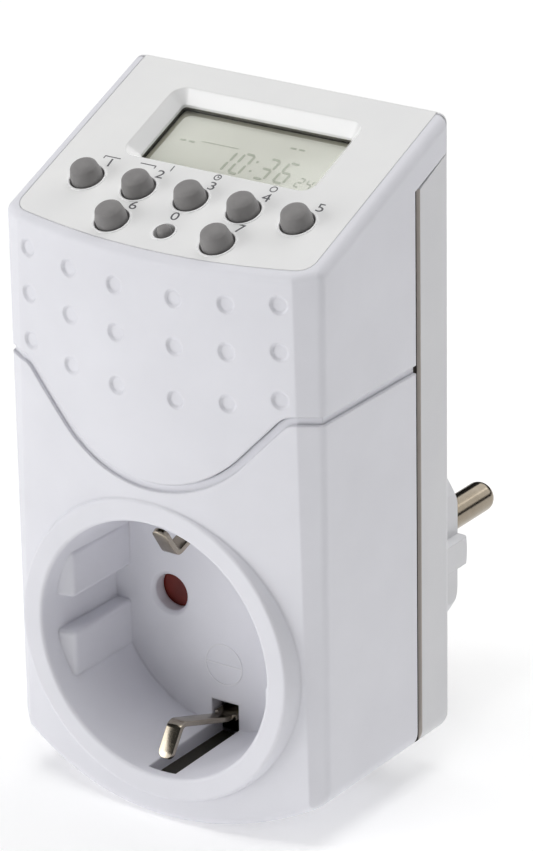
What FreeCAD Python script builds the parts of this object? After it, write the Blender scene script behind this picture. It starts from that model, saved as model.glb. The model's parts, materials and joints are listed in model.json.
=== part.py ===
import FreeCAD, Part
import math
import os

from FreeCAD import Vector

# Plug-in digital timer, in millimetres. The origin is on the socket axis in the
# plane of the rear face. X points right as seen from the front, Y into the wall
# and Z up. A depth is counted from the front of the socket ring.

# Housing outline
body_width = 53.4
body_depth = 36.7
front_setback = 0.3
front_radius = 115.0
corner_inset_high = 3.5
corner_inset_low = 2.1
corner_high_level = 58.0
corner_low_level = -19.0
side_front_depth = 4.8
bottom_reach = 26.3
bottom_radius = 50.6
bottom_corner_radius = 3.05
wall = 2.0
rear_wall = 2.2
edge_round = 1.5
top_edge_round = 0.6
sharpest_left = 40.0

# Sloped panel: a point on it, and its slope from the horizontal
panel_depth = 6.9
panel_height = 61.8
panel_angle = 22.9

# Seam between the front covers and the rear housing
seam_depth = 27.6
seam_groove = 1.2
seam_bend_height = 65.4
seam_top_inset = 1.0
seam_top_height = 68.8
seam_top_gap = 0.15
lip_inset = 0.95
lip_gap = 0.1
lip_length = 2.0
lip_top = 64.0

# Wave-shaped parting line of the two front covers
wave_low = 25.9
wave_high = 39.8
wave_valley_radius = 20.0
wave_crest_radius = 4.0
wave_angle = 46.5
parting_gap = 0.08
groove_width = 1.2
groove_depth = 0.5
tongue_thickness = 1.2
tongue_gap = 0.1
tongue_rise = 2.0
tongue_root = 3.0

# Dimples on the upper cover: rows, and how far each row rises at its ends
dimple_rows = ((54.0, 1.8), (47.0, 2.0), (39.1, 2.9))
dimple_columns = (5.0, 13.3, 21.2)
dimple_radius = 1.35
dimple_floor_radius = 1.05
dimple_depth = 0.35

# Face plate
plate_thickness = 2.2
plate_inset = 1.9
plate_top = 29.7
plate_bottom = -5.35
plate_edge_radius = 120.0
plate_corner_radius = 2.5
plate_gap = 0.05
plate_lip = 0.8
plate_lip_top = 31.8
ledge_width = 0.6
ledge_thickness = 1.2

# Display window
window_middle = 19.2
window_half_width = 16.2
window_half_height = 7.7
window_bevel = 1.75
window_corner = 2.3
window_inner_corner = 0.6
window_pane = 1.0
pane_overlap = 0.6
display_glass = 1.8
glass_overhang = 0.2
holder_wall = 0.8
holder_gap = 0.2
reflector_thickness = 0.6
connector_width = 1.2
connector_inset = 0.6
connector_end = 1.4

# Keys
key_pitch = 8.9
key_row = 5.5
key_second_row = -1.4
key_radius = 2.28
key_hole_clearance = 0.27
key_rise = 2.8
key_shoulder = 1.2
key_top_radius = 1.8
key_top_drop = 0.7
key_flange_radius = 2.9
key_flange = 0.8
key_travel = 1.0
key_gap = 0.05
reset_radius = 1.2
reset_rise = 0.8
reset_hole_clearance = 0.35
reset_flange_radius = 2.2

# Keypad mat and control board
mat_thickness = 0.8
mat_inset = 6.7
mat_top = 9.2
mat_bottom = -4.2
mat_corner = 2.0
dome_radius = 2.1
dome_top_radius = 1.7
board_level = 6.8
board_thickness = 1.6
board_inset = 3.1
board_top = 26.2
board_bottom = -3.6
board_corner = 2.0
board_boss_radius = 1.7
board_boss_inset = 4.4
board_boss_low = -0.2
board_boss_high = 24.0
board_screw_radius = 0.9
board_screw_hole = 1.1
board_screw_head_radius = 1.8
board_screw_head = 1.0
board_screw_bite = 3.2

# Pieces on the back of the control board
resin_radius = 4.5
resin_rise = 1.4
resin_across = -10.0
resin_up = 12.0
crystal_radius = 1.0
crystal_length = 6.0
crystal_across = 2.0
crystal_up = 15.5
cell_radius = 5.8
cell_height = 5.3
cell_across = 9.5
cell_up = 5.0
cell_tab_width = 4.0
cell_tab_thickness = 0.3
cell_foot_thickness = 0.5
cell_tab_gap = 1.5

# Socket
pin_pitch = 19.0
pin_radius = 2.4
pin_length = 19.0
aperture_radius = 2.86
aperture_chamfer = 0.5
well_radius = 19.5
well_floor_radius = 19.16
well_depth = 17.5
well_wall = 1.9
well_floor = 2.5
rim_round = 0.5
ring_round = 0.5
ring_radius = 22.93
ring_base_radius = 24.2
ring_base_depth = 4.8
rib_face = 16.5
rib_spacing = 5.4
rib_height = 7.2
rib_start = 3.4
rib_slope = 0.5
rib_round = 0.7
clip_slot_half_width = 2.35
clip_slot_inner = 14.96
clip_slot_outer = 21.2
clip_slot_start = 1.7
clip_pocket_wall = 1.5

# Earth bracket with the two sprung clips, and the earth strips of the plug
clip_thickness = 0.8
clip_half_width = 1.25
clip_base_half_width = 1.9
clip_tip_depth = 2.4
clip_tip_reach = 17.8
clip_apex_depth = 5.4
clip_apex_reach = 13.3
clip_foot_depth = 16.5
clip_foot_reach = 17.1
clip_base_reach = 17.3
clip_bend = 1.2
clip_corner = 1.1
earth_strip_thickness = 0.7
earth_strip_half_width = 2.2
earth_strip_reach = 18.3
earth_strip_start = 9.0
earth_strip_end = 50.5
earth_tip_depth = 52.8
earth_tip_reach = 18.05
rivet_radius = 1.1
rivet_head_radius = 2.0
rivet_head = 0.6
rivet_reach = 11.5

# Child-safety shutter, its spring and the contact carrier
shutter_gap = 0.2
shutter_thickness = 1.6
shutter_disc_radius = 3.2
shutter_arm_half_width = 2.3
shutter_hub_radius = 4.0
pivot_radius = 1.55
pivot_clearance = 0.05
pivot_tip_gap = 0.1
carrier_radius = 15.4
carrier_rim = 1.0
carrier_plate = 1.6
carrier_hole_radius = 2.9
stop_gap = 0.15
stop_width = 3.0
stop_height = 1.2
spring_sheet = 0.3
spring_width = 1.1
spring_bend = 0.6
spring_post_width = 2.2
spring_post_height = 1.1
spring_anchor_across = 3.5
spring_anchor_up = 10.6
spring_knee_across = 11.3
spring_knee_up = 7.6
ear_reach = 18.2
ear_half_width = 2.3
ear_screw_radius = 1.1
ear_screw_head_radius = 2.0
ear_screw_head = 1.2
ear_screw_bite = 1.5

# Live and neutral contacts of the socket
contact_sheet = 0.6
contact_leaf = 2.75
contact_pinch = 2.35
contact_top = 3.5
contact_base = 4.2
contact_bend = 0.8
contact_gap = 0.4
tail_top = 24.5
nest_half_width = 4.3
nest_wall = 0.8
nest_gap = 0.1
nest_top = 3.6

# Rear housing: plug body, posts and screws
plug_length = 17.5
plug_radius = 18.75
plug_round = 1.0
plug_flat = 16.64
plug_flat_half_height = 8.64
plug_key_reach = 18.55
plug_key_half_height = 2.13
plug_bore_radius = 15.9
plug_bore_half_width = 14.7
plug_face = 3.0
earth_recess_floor = 17.6
earth_recess_clearance = 0.4
earth_slot_clearance = 0.2
collar_radius = 3.6
collar_height = 0.8
shank_radius = 1.5
pin_root_radius = 3.0
pin_neck_radius = 2.65
pin_neck = 1.0
pin_head_radius = 2.0
pin_head = 0.5
pin_tip_round = 1.8
lug_half_width = 2.85
lug_half_height = 3.2
pin_strip_thickness = 0.7
pin_strip_level = 6.3
pin_strip_bend = 1.0
pin_strip_inner = 6.3
live_strip_outer = 11.0
live_strip_top = 25.0
neutral_strip_front = 27.0
screw_inset = 6.4
screw_low = -16.3
screw_high = 47.0
boss_gap = 0.05
front_boss_radius = 2.8
rear_boss_radius = 3.3
screw_pilot_radius = 1.3
screw_hole_radius = 1.7
screw_head_radius = 2.7
screw_head = 2.2
screw_recess_radius = 2.9
screw_recess_depth = 6.0
screw_bite = 9.0
pilot_spare = 1.0

# Power board and what stands on it
power_board_stand = 2.5
power_board_thickness = 1.6
power_board_half_width = 16.5
power_board_bottom = 22.0
power_board_top = 60.0
power_post_radius = 2.6
power_screw_across = 13.5
power_screw_level = 57.0
power_screw_radius = 0.95
power_screw_hole = 1.15
power_screw_head_radius = 1.9
power_screw_head = 1.1
power_screw_bite = 3.2
shelf_inner = 12.0
shelf_outer = 16.0
shelf_thickness = 1.4
relay_width = 19.0
relay_height = 15.5
relay_depth = 15.4
relay_level = 42.0
relay_round = 0.8
relay_base = 1.2
relay_base_step = 0.3
film_width = 18.0
film_height = 8.0
film_depth = 13.0
film_across = -6.0
film_level = 29.8
film_round = 1.0
lead_radius = 0.35
lead_length = 0.8
smoothing_radius = 4.0
smoothing_length = 11.5
smoothing_across = 10.0
smoothing_level = 29.9
smoothing_groove = 0.35
smoothing_groove_place = 1.6
varistor_radius = 4.5
varistor_thickness = 3.5
varistor_across = -13.6
varistor_level = 41.0
varistor_lead_spacing = 5.0
varistor_stand = 1.2
diode_radius = 1.25
diode_length = 4.5
diode_across = 13.4
diode_levels = (36.5, 40.0, 43.5, 47.0)
resistor_radius = 2.0
resistor_length = 10.0
resistor_across = 5.2
resistor_level = 54.6
axial_stand = 0.6
transistor_radius = 2.3
transistor_flat = 1.2
transistor_length = 4.6
transistor_across = -3.6
transistor_level = 54.6
transistor_legs = 2.0
transistor_pitch = 1.27
ribbon_thickness = 0.9
ribbon_inner = 6.4
ribbon_outer = 11.2
ribbon_up = 19.0
ribbon_drop = 2.6
ribbon_end = 56.0
ribbon_bend = 1.0

# Sizes that follow from those above
half_width = body_width / 2
corner_start_high = half_width - corner_inset_high
corner_start_low = half_width - corner_inset_low
seam_top_depth = body_depth - seam_top_inset
plate_half_width = half_width - plate_inset
mat_half_width = half_width - mat_inset
board_half_width = half_width - board_inset
board_boss_across = half_width - board_boss_inset
screw_across = half_width - screw_inset
boss_joint_depth = seam_depth - lip_length - lip_gap
pin_across = pin_pitch / 2
well_back = well_depth + well_floor
carrier_front = well_back + shutter_gap + shutter_thickness + shutter_gap
carrier_back = carrier_front + carrier_plate
shutter_front = well_back + shutter_gap
shutter_back = shutter_front + shutter_thickness
rear_wall_front = body_depth - rear_wall
power_board_depth = rear_wall_front - power_board_stand - power_board_thickness
plug_face_depth = body_depth + plug_length
plug_floor_depth = plug_face_depth - plug_face
lug_depth = plug_floor_depth - collar_height
contact_front = carrier_back + contact_gap
tail_middle = pin_across + contact_leaf
bracket_middle = carrier_back + clip_thickness / 2
earth_strip_middle = carrier_back + clip_thickness + earth_strip_thickness / 2
key_hole_radius = key_radius + key_hole_clearance
reset_hole_radius = reset_radius + reset_hole_clearance
flange_level = -plate_thickness - key_gap
flange_back = flange_level - key_flange
dome_level = flange_back - key_travel - key_gap
mat_level = mat_thickness - board_level
board_back = -board_level - board_thickness
far = 200.0


def place(across, depth, height):
    """Point at a depth behind the front of the socket ring."""
    return Vector(across, depth - body_depth, height)


def polygon(corners):
    return Part.Face(Part.makePolygon(corners + corners[:1]))


def block(left, right, front, back, low, high):
    return Part.makeBox(right - left, back - front, high - low, place(left, front, low))


def rod(across, height, radius, front, back):
    """Round bar along the depth."""
    return Part.makeCylinder(radius, back - front, place(across, front, height), Vector(0, 1, 0))


def mirrored(shape):
    """The same shape on the other side of the middle plane."""
    return shape.mirror(Vector(0, 0, 0), Vector(1, 0, 0))


def flipped(shape):
    """The same shape below the socket axis."""
    return shape.mirror(Vector(0, 0, 0), Vector(0, 0, 1))


def joined(shapes):
    first = shapes[0]
    return first.fuse(shapes[1:]).removeSplitter()


def outline_face(edges):
    return Part.Face(Part.Wire(Part.__sortEdges__(edges)))


def line(start, end):
    return Part.LineSegment(start, end).toShape()


def arc(start, middle, end):
    return Part.Arc(start, middle, end).toShape()


def turned(profile, across=0.0, height=0.0):
    """Solid of revolution about the depth direction from (radius, depth) edges."""
    face = outline_face(profile)
    face.translate(Vector(across, 0, height))
    return face.revolve(place(across, 0, height), Vector(0, 1, 0), 360)


def turned_points(points, across=0.0, height=0.0):
    corners = [place(radius, depth, 0) for radius, depth in points]
    edges = Part.makePolygon(corners + corners[:1]).Edges
    return turned(edges, across, height)


def on_panel(shape):
    """Move a shape from panel axes (across, up the slope, outwards) to its place."""
    shape.rotate(Vector(0, 0, 0), Vector(1, 0, 0), panel_angle)
    shape.translate(place(0, panel_depth, panel_height))
    return shape


def panel_point(across, up, out):
    slope = math.radians(panel_angle)
    depth = panel_depth + up * math.cos(slope) - out * math.sin(slope)
    height = panel_height + up * math.sin(slope) + out * math.cos(slope)
    return place(across, depth, height)


def offset_path(points, shift, bend, to_space):
    """Edges of a bent line moved sideways, with an arc at each corner."""
    edges = []
    count = len(points)
    runs = []
    for first, second in zip(points, points[1:]):
        length = math.hypot(second[0] - first[0], second[1] - first[1])
        runs.append(((second[0] - first[0]) / length, (second[1] - first[1]) / length))
    start = (points[0][0] - runs[0][1] * shift, points[0][1] + runs[0][0] * shift)
    for index in range(1, count - 1):
        before, after = runs[index - 1], runs[index]
        cross = before[0] * after[1] - before[1] * after[0]
        turn = math.atan2(cross, before[0] * after[0] + before[1] * after[1])
        side = math.copysign(1.0, turn)
        setback = bend * math.tan(abs(turn) / 2)
        corner = points[index]
        tangent_in = (corner[0] - before[0] * setback, corner[1] - before[1] * setback)
        centre = (tangent_in[0] - before[1] * side * bend, tangent_in[1] + before[0] * side * bend)
        reach = bend - side * shift
        to_corner = math.hypot(corner[0] - centre[0], corner[1] - centre[1])
        enter = (centre[0] + before[1] * side * reach, centre[1] - before[0] * side * reach)
        leave = (centre[0] + after[1] * side * reach, centre[1] - after[0] * side * reach)
        crown = (
            centre[0] + (corner[0] - centre[0]) * reach / to_corner,
            centre[1] + (corner[1] - centre[1]) * reach / to_corner,
        )
        edges.append(line(to_space(*start), to_space(*enter)))
        edges.append(arc(to_space(*enter), to_space(*crown), to_space(*leave)))
        start = leave
    end = (points[-1][0] - runs[-1][1] * shift, points[-1][1] + runs[-1][0] * shift)
    edges.append(line(to_space(*start), to_space(*end)))
    return edges


def bent_sheet(points, thickness, bend, to_space, sweep):
    """Sheet of one thickness that follows a bent line, swept to its width."""
    upper = offset_path(points, thickness / 2, bend, to_space)
    lower = offset_path(points, -thickness / 2, bend, to_space)
    caps = [
        line(upper[0].Vertexes[0].Point, lower[0].Vertexes[0].Point),
        line(upper[-1].Vertexes[-1].Point, lower[-1].Vertexes[-1].Point),
    ]
    return outline_face(upper + lower + caps).extrude(sweep)


def side_sheet(points, thickness, bend, left, right):
    """Bent sheet drawn in side view by (depth, height) and as wide as left to right."""
    return bent_sheet(
        points, thickness, bend, lambda depth, height: place(left, depth, height), Vector(right - left, 0, 0)
    )


# Housing outline


def front_line(across):
    """Depth of the curved front at a distance from the middle."""
    return front_setback + front_radius - math.sqrt(front_radius**2 - across**2)


def corner_triangle(height, inset):
    """Section of what the corner band leaves off at one height."""
    share = (height - corner_low_level) / (corner_high_level - corner_low_level)
    start = corner_start_low + (corner_start_high - corner_start_low) * share
    depth = front_line(start)
    length = math.hypot(half_width - start, side_front_depth - depth)
    run = ((half_width - start) / length, (side_front_depth - depth) / length)
    foot = (start - run[1] * inset, depth + run[0] * inset)
    inner = (foot[0] - run[0] * length * 2, foot[1] - run[1] * length * 2)
    outer = (foot[0] + run[0] * length * 3, foot[1] + run[1] * length * 3)
    corners = [place(*inner, height), place(*outer, height), place(outer[0], inner[1], height)]
    return Part.makePolygon(corners + corners[:1])


def front_view(inset):
    """Outline seen from the front: straight sides and an arched bottom."""
    side = half_width - inset
    radius = bottom_radius - inset
    corner = max(bottom_corner_radius - inset, bottom_corner_radius / 4)
    middle = bottom_radius - bottom_reach
    corner_across = side - corner
    corner_height = middle - math.sqrt((radius - corner) ** 2 - corner_across**2)
    share = radius / (radius - corner)
    end = (corner_across * share, middle + (corner_height - middle) * share)
    half_way = math.atan2(end[1] - corner_height, end[0] - corner_across) / 2
    crown = (corner_across + corner * math.cos(half_way), corner_height + corner * math.sin(half_way))
    edges = [
        line(place(side, -wall, far), place(side, -wall, corner_height)),
        arc(
            place(side, -wall, corner_height),
            place(crown[0], -wall, crown[1]),
            place(end[0], -wall, end[1]),
        ),
        arc(place(end[0], -wall, end[1]), place(0, -wall, middle - radius), place(-end[0], -wall, end[1])),
        arc(
            place(-end[0], -wall, end[1]),
            place(-crown[0], -wall, crown[1]),
            place(-side, -wall, corner_height),
        ),
        line(place(-side, -wall, corner_height), place(-side, -wall, far)),
        line(place(-side, -wall, far), place(side, -wall, far)),
    ]
    return outline_face(edges)


def body_form(inset=0.0, top_skin=None):
    """The whole housing as one solid, every face moved inwards by the inset."""
    skin = inset if top_skin is None else top_skin
    form = front_view(inset).extrude(Vector(0, body_depth + wall - inset, 0))
    centre_depth = front_setback + front_radius
    behind_front = Part.makeCylinder(front_radius - inset, 2 * far, place(0, centre_depth, -far))
    form = form.common(behind_front)
    low = corner_triangle(-far / 4, inset)
    high = corner_triangle(far / 2, inset)
    wedge = Part.makeLoft([low, high], True, True)
    form = form.cut([wedge, mirrored(wedge)])
    above = on_panel(Part.makeBox(2 * far, 2 * far, far, Vector(-far, -far, -skin)))
    return form.cut(above)


def face_normal(face, point):
    across, along = face.Surface.parameter(point)
    return face.normalAt(across, along)


def sharp_edges(shape):
    """Edges sharper than the angle that stays unrounded, the gentlest first."""
    found = []
    for edge in shape.Edges:
        middle = edge.valueAt((edge.FirstParameter + edge.LastParameter) / 2)
        faces = shape.ancestorsOfType(edge, Part.Face)
        turn = face_normal(faces[0], middle).getAngle(face_normal(faces[1], middle))
        if math.degrees(turn) > sharpest_left:
            found.append((turn, len(found), edge))
    return [edge for turn, order, edge in sorted(found)]


def is_top_rear(edge):
    """True for the straight edge between the panel and the rear face."""
    middle = edge.CenterOfMass
    return abs(middle.y) < far / 1e6 and middle.z > panel_height and abs(middle.x) < 1


def seam_side(shift, top_shift, front):
    """All that lies in front of, or behind, the seam moved back by the shift."""
    limit = -far if front else far
    points = [
        (limit, -far),
        (seam_depth + shift, -far),
        (seam_depth + shift, seam_bend_height),
        (seam_top_depth + top_shift, seam_top_height),
        (seam_top_depth + top_shift, far),
        (limit, far),
    ]
    return polygon([place(-far, depth, height) for depth, height in points]).extrude(Vector(2 * far, 0, 0))


def slab(front, back, low=-far, high=far):
    """Everything between two depths and two heights."""
    return block(-far, far, front, back, low, high)


def wave_edges(drop):
    """Parting line of the front covers, moved down by the drop across its run."""
    slope = math.radians(wave_angle)
    valley_middle = wave_low + wave_valley_radius
    crest_middle = wave_high - wave_crest_radius
    both = wave_valley_radius + wave_crest_radius
    run = (crest_middle - valley_middle + both * math.cos(slope)) / math.sin(slope)
    crest_across = run * math.cos(slope) + both * math.sin(slope)
    valley = wave_valley_radius + drop
    crest = wave_crest_radius - drop
    foot = (valley * math.sin(slope), valley_middle - valley * math.cos(slope))
    head = (crest_across - crest * math.sin(slope), crest_middle + crest * math.cos(slope))
    crown = (
        crest_across - crest * math.sin(slope / 2),
        crest_middle + crest * math.cos(slope / 2),
    )
    level = crest_middle + crest
    edges = [
        arc(
            place(-foot[0], -far, foot[1]),
            place(0, -far, valley_middle - valley),
            place(foot[0], -far, foot[1]),
        )
    ]
    for side in (-1, 1):
        edges.append(line(place(side * foot[0], -far, foot[1]), place(side * head[0], -far, head[1])))
        edges.append(
            arc(
                place(side * head[0], -far, head[1]),
                place(side * crown[0], -far, crown[1]),
                place(side * crest_across, -far, level),
            )
        )
        edges.append(line(place(side * crest_across, -far, level), place(side * far, -far, level)))
    return edges, level


def wave_side(drop, below):
    """All that lies below, or above, the parting line moved down by the drop."""
    edges, level = wave_edges(drop)
    limit = -far if below else far
    edges.append(line(place(far, -far, level), place(far, -far, limit)))
    edges.append(line(place(far, -far, limit), place(-far, -far, limit)))
    edges.append(line(place(-far, -far, limit), place(-far, -far, level)))
    return outline_face(edges).extrude(Vector(0, 2 * far, 0))


def wave_band(upper_drop, lower_drop):
    return wave_side(upper_drop, True).cut(wave_side(lower_drop, True))


outer_body = body_form()
round_edges = [edge for edge in sharp_edges(outer_body) if not is_top_rear(edge)]
outer_body = outer_body.makeFillet(edge_round, round_edges)
outer_body = outer_body.makeFillet(top_edge_round, [edge for edge in outer_body.Edges if is_top_rear(edge)])
inner_body = body_form(wall)
lip_body = body_form(lip_inset)
front_zone = seam_side(0, 0, True)
boss_places = [(side * screw_across, height) for side in (-1, 1) for height in (screw_low, screw_high)]


# Front covers


def front_shell():
    """Both front covers in one, open at the back, with room for the rear lip."""
    hollow = body_form(wall, plate_thickness + ledge_thickness)
    shell = outer_body.common(front_zone).cut(hollow)
    lip_room = body_form(lip_inset - lip_gap).common(
        slab(seam_depth - lip_length - lip_gap, seam_depth + wall, -far, lip_top + lip_gap)
    )
    return shell.cut(lip_room)


def front_boss(across, height):
    """Screw post from the front wall to the joint with the rear housing."""
    post = rod(across, height, front_boss_radius, front_setback, boss_joint_depth)
    pilot = rod(
        across,
        height,
        screw_pilot_radius,
        boss_joint_depth - screw_bite - pilot_spare,
        boss_joint_depth,
    )
    return post.common(body_form(wall / 2)).cut(pilot)


def plate_outline(inset, low, high):
    """Face plate's outline as a solid in panel axes, moved in by the inset."""
    side = plate_half_width - inset
    top = plate_top - inset
    bottom = plate_bottom + inset
    rise = plate_edge_radius - math.sqrt(plate_edge_radius**2 - side**2)
    edges = [
        arc(Vector(-side, bottom + rise, low), Vector(0, bottom, low), Vector(side, bottom + rise, low)),
        line(Vector(side, bottom + rise, low), Vector(side, top, low)),
        line(Vector(side, top, low), Vector(-side, top, low)),
        line(Vector(-side, top, low), Vector(-side, bottom + rise, low)),
    ]
    solid = outline_face(edges).extrude(Vector(0, 0, high - low))
    corners = [
        edge
        for edge in solid.Edges
        if abs(edge.tangentAt(edge.FirstParameter).z) > 0.9 and edge.Vertexes[0].Point.y < window_middle
    ]
    return solid.makeFillet(plate_corner_radius - inset, corners)


def plate_lip_bar(gap, high):
    """Thin lip along the plate's top edge, which covers the joint behind it."""
    side = plate_half_width + gap
    start = Vector(-side, plate_top - plate_lip, -plate_lip)
    return Part.makeBox(2 * side, plate_lip_top + gap - start.y, high + plate_lip, start)


def dimple(across, height):
    """Shallow round recess, square to the curved front."""
    lean = math.degrees(math.asin(across / front_radius))
    cone = Part.makeCone(
        dimple_floor_radius,
        2 * dimple_radius - dimple_floor_radius,
        2 * dimple_depth,
        Vector(0, dimple_depth, 0),
        Vector(0, -1, 0),
    )
    cone.rotate(Vector(0, 0, 0), Vector(0, 0, 1), lean)
    cone.translate(place(across, front_line(across), height))
    return cone


def dimples():
    cuts = []
    widest = dimple_columns[-1]
    for level, rise in dimple_rows:
        for column in dimple_columns:
            height = level + rise * (column / widest) ** 2
            cuts.append(dimple(column, height))
            cuts.append(dimple(-column, height))
    return cuts


def upper_front_cover(shell):
    cover = shell.common(wave_side(0, False))
    pocket = on_panel(plate_outline(-plate_gap, -plate_thickness, wall))
    opening = on_panel(plate_outline(ledge_width, -far / 10, wall))
    lip_pocket = on_panel(plate_lip_bar(plate_gap, wall))
    cover = cover.cut([pocket, lip_pocket, opening.common(outer_body)])
    cover = cover.cut(dimples())
    bosses = [front_boss(across, height) for across, height in boss_places if height > 0]
    return joined([cover] + bosses)


def tongue():
    """Raised edge of the lower cover that stands behind the upper cover."""
    inner = body_form(wall + tongue_gap + tongue_thickness)
    raised = body_form(wall + tongue_gap).cut(inner).common(wave_band(-tongue_rise, groove_width))
    root = inner_body.cut(inner).common(wave_band(parting_gap + tongue_gap, tongue_root))
    ring = raised.fuse(root)
    return ring.common(slab(-wall, seam_depth - lip_length - 2 * lip_gap))


def socket_cup():
    """Raised ring, well wall and well floor, turned about the socket axis."""
    flank_end = ring_base_radius
    ring_corner = ring_radius - ring_round
    corner_share = ring_round * math.sqrt(0.5)
    outside = well_radius + well_wall
    profile = [
        line(place(0, 0, 0), place(ring_corner, 0, 0)),
        arc(
            place(ring_corner, 0, 0),
            place(ring_corner + corner_share, ring_round - corner_share, 0),
            place(ring_radius, ring_round, 0),
        ),
        line(place(ring_radius, ring_round, 0), place(flank_end, ring_base_depth, 0)),
        line(place(flank_end, ring_base_depth, 0), place(outside, ring_base_depth, 0)),
        line(place(outside, ring_base_depth, 0), place(outside, well_back, 0)),
        line(place(outside, well_back, 0), place(0, well_back, 0)),
        line(place(0, well_back, 0), place(0, 0, 0)),
    ]
    return turned(profile)


def socket_bore():
    """Space of the well: a slight taper, with the rim rounded over."""
    corner_share = rim_round * math.sqrt(0.5)
    rim = well_radius + rim_round
    profile = [
        line(place(0, -wall, 0), place(rim, -wall, 0)),
        line(place(rim, -wall, 0), place(rim, 0, 0)),
        arc(
            place(rim, 0, 0),
            place(rim - corner_share, rim_round - corner_share, 0),
            place(well_radius, rim_round, 0),
        ),
        line(place(well_radius, rim_round, 0), place(well_floor_radius, well_depth, 0)),
        line(place(well_floor_radius, well_depth, 0), place(0, well_depth, 0)),
        line(place(0, well_depth, 0), place(0, -wall, 0)),
    ]
    return turned(profile)


def guide_rib(low):
    """Block on the well's wall that keys the plug, with a sloped front."""
    outer = well_radius + well_wall / 2
    points = [
        place(rib_face, rib_start + rib_slope, low),
        place(rib_face, well_depth + well_floor / 2, low),
        place(outer, well_depth + well_floor / 2, low),
        place(outer, rib_start, low),
        place(outer - well_wall, rib_start, low),
    ]
    rib = polygon(points).extrude(Vector(0, 0, rib_height))
    edges = [
        edge
        for edge in rib.Edges
        if edge.CenterOfMass.x < well_radius - 1 and edge.CenterOfMass.y < well_depth - body_depth
    ]
    rib = rib.makeFillet(rib_round, edges)
    return rib.common(rod(0, 0, outer, 0, well_back))


def aperture():
    """Pin hole through the well floor, with a small lead-in."""
    mouth = aperture_radius + aperture_chamfer
    return turned_points(
        [
            (0, well_depth - wall),
            (mouth, well_depth - wall),
            (mouth, well_depth),
            (aperture_radius, well_depth + aperture_chamfer),
            (aperture_radius, well_back + wall),
            (0, well_back + wall),
        ],
        pin_across,
    )


def clip_pocket():
    side = clip_slot_half_width + clip_pocket_wall
    start = clip_slot_start - clip_pocket_wall / 2
    return block(-side, side, start, well_back, well_radius, clip_slot_outer + clip_pocket_wall)


def clip_slot():
    side = clip_slot_half_width
    floor_slot = block(-side, side, well_depth - wall, well_back + wall, clip_slot_inner, clip_slot_outer)
    wall_slot = block(-side, side, clip_slot_start, well_depth, clip_slot_inner, clip_slot_outer)
    return floor_slot.fuse(wall_slot)


def ear_post():
    """Post on the back of the well floor that takes a carrier screw."""
    return rod(ear_reach, 0, ear_half_width, well_depth + well_floor / 2, carrier_front)


def lower_front_cover(shell):
    cover = shell.common(wave_side(parting_gap, True))
    groove = wave_band(-groove_width, groove_width).cut(body_form(groove_depth))
    cover = cover.cut(groove)
    pocket = clip_pocket()
    added = [socket_cup(), tongue(), pocket, flipped(pocket), ear_post(), mirrored(ear_post())]
    added += [front_boss(across, height) for across, height in boss_places if height < 0]
    cover = joined([cover] + added)
    ribs = [guide_rib(rib_spacing / 2), guide_rib(-rib_spacing / 2 - rib_height)]
    cover = cover.cut(socket_bore())
    cover = joined([cover] + ribs + [mirrored(rib) for rib in ribs])
    ear_pilot = rod(ear_reach, 0, ear_screw_radius, carrier_front - ear_screw_bite, carrier_front)
    slot = clip_slot()
    cuts = [aperture(), mirrored(aperture()), slot, flipped(slot), ear_pilot, mirrored(ear_pilot)]
    return cover.cut(cuts)


# Rear housing


def plug_body():
    """Round plug with flats and keys at the sides and a recess for each earth strip."""
    corner_share = plug_round * math.sqrt(0.5)
    edge = plug_radius - plug_round
    start = rear_wall_front + rear_wall / 2
    profile = [
        line(place(0, start, 0), place(plug_radius, start, 0)),
        line(place(plug_radius, start, 0), place(plug_radius, plug_face_depth - plug_round, 0)),
        arc(
            place(plug_radius, plug_face_depth - plug_round, 0),
            place(edge + corner_share, plug_face_depth - plug_round + corner_share, 0),
            place(edge, plug_face_depth, 0),
        ),
        line(place(edge, plug_face_depth, 0), place(0, plug_face_depth, 0)),
        line(place(0, plug_face_depth, 0), place(0, start, 0)),
    ]
    body = turned(profile)
    flat = block(
        plug_flat,
        plug_radius + wall,
        body_depth,
        plug_face_depth + wall,
        -plug_flat_half_height,
        plug_flat_half_height,
    )
    key = block(
        0, plug_key_reach, body_depth, plug_face_depth, -plug_key_half_height, plug_key_half_height
    )
    flat = flat.cut(key)
    side = earth_strip_half_width + earth_recess_clearance
    recess = block(-side, side, body_depth, plug_face_depth + wall, earth_recess_floor, plug_radius + wall)
    return body.cut([flat, mirrored(flat), recess, flipped(recess)])


def plug_bore():
    bore = rod(0, 0, plug_bore_radius, rear_wall_front - wall, plug_floor_depth)
    room = block(-plug_bore_half_width, plug_bore_half_width, 0, plug_floor_depth, -far, far)
    return bore.common(room)


def rear_boss(across, height):
    start = boss_joint_depth + boss_gap
    return rod(across, height, rear_boss_radius, start, rear_wall_front + rear_wall / 2)


def rear_screw_room(across, height):
    hole = rod(across, height, screw_hole_radius, boss_joint_depth, body_depth + wall)
    recess = rod(across, height, screw_recess_radius, body_depth - screw_recess_depth, body_depth + wall)
    return hole.fuse(recess)


def board_shelf(side):
    """Rib on the rear wall that the power board stands on."""
    left, right = sorted((side * shelf_inner, side * shelf_outer))
    low = power_board_bottom - shelf_thickness
    return block(
        left, right, power_board_depth, rear_wall_front + rear_wall / 2, low, power_board_bottom
    )


def power_post(side):
    back = power_board_depth + power_board_thickness
    return rod(
        side * power_screw_across, power_screw_level, power_post_radius, back, rear_wall_front + rear_wall / 2
    )


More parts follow.
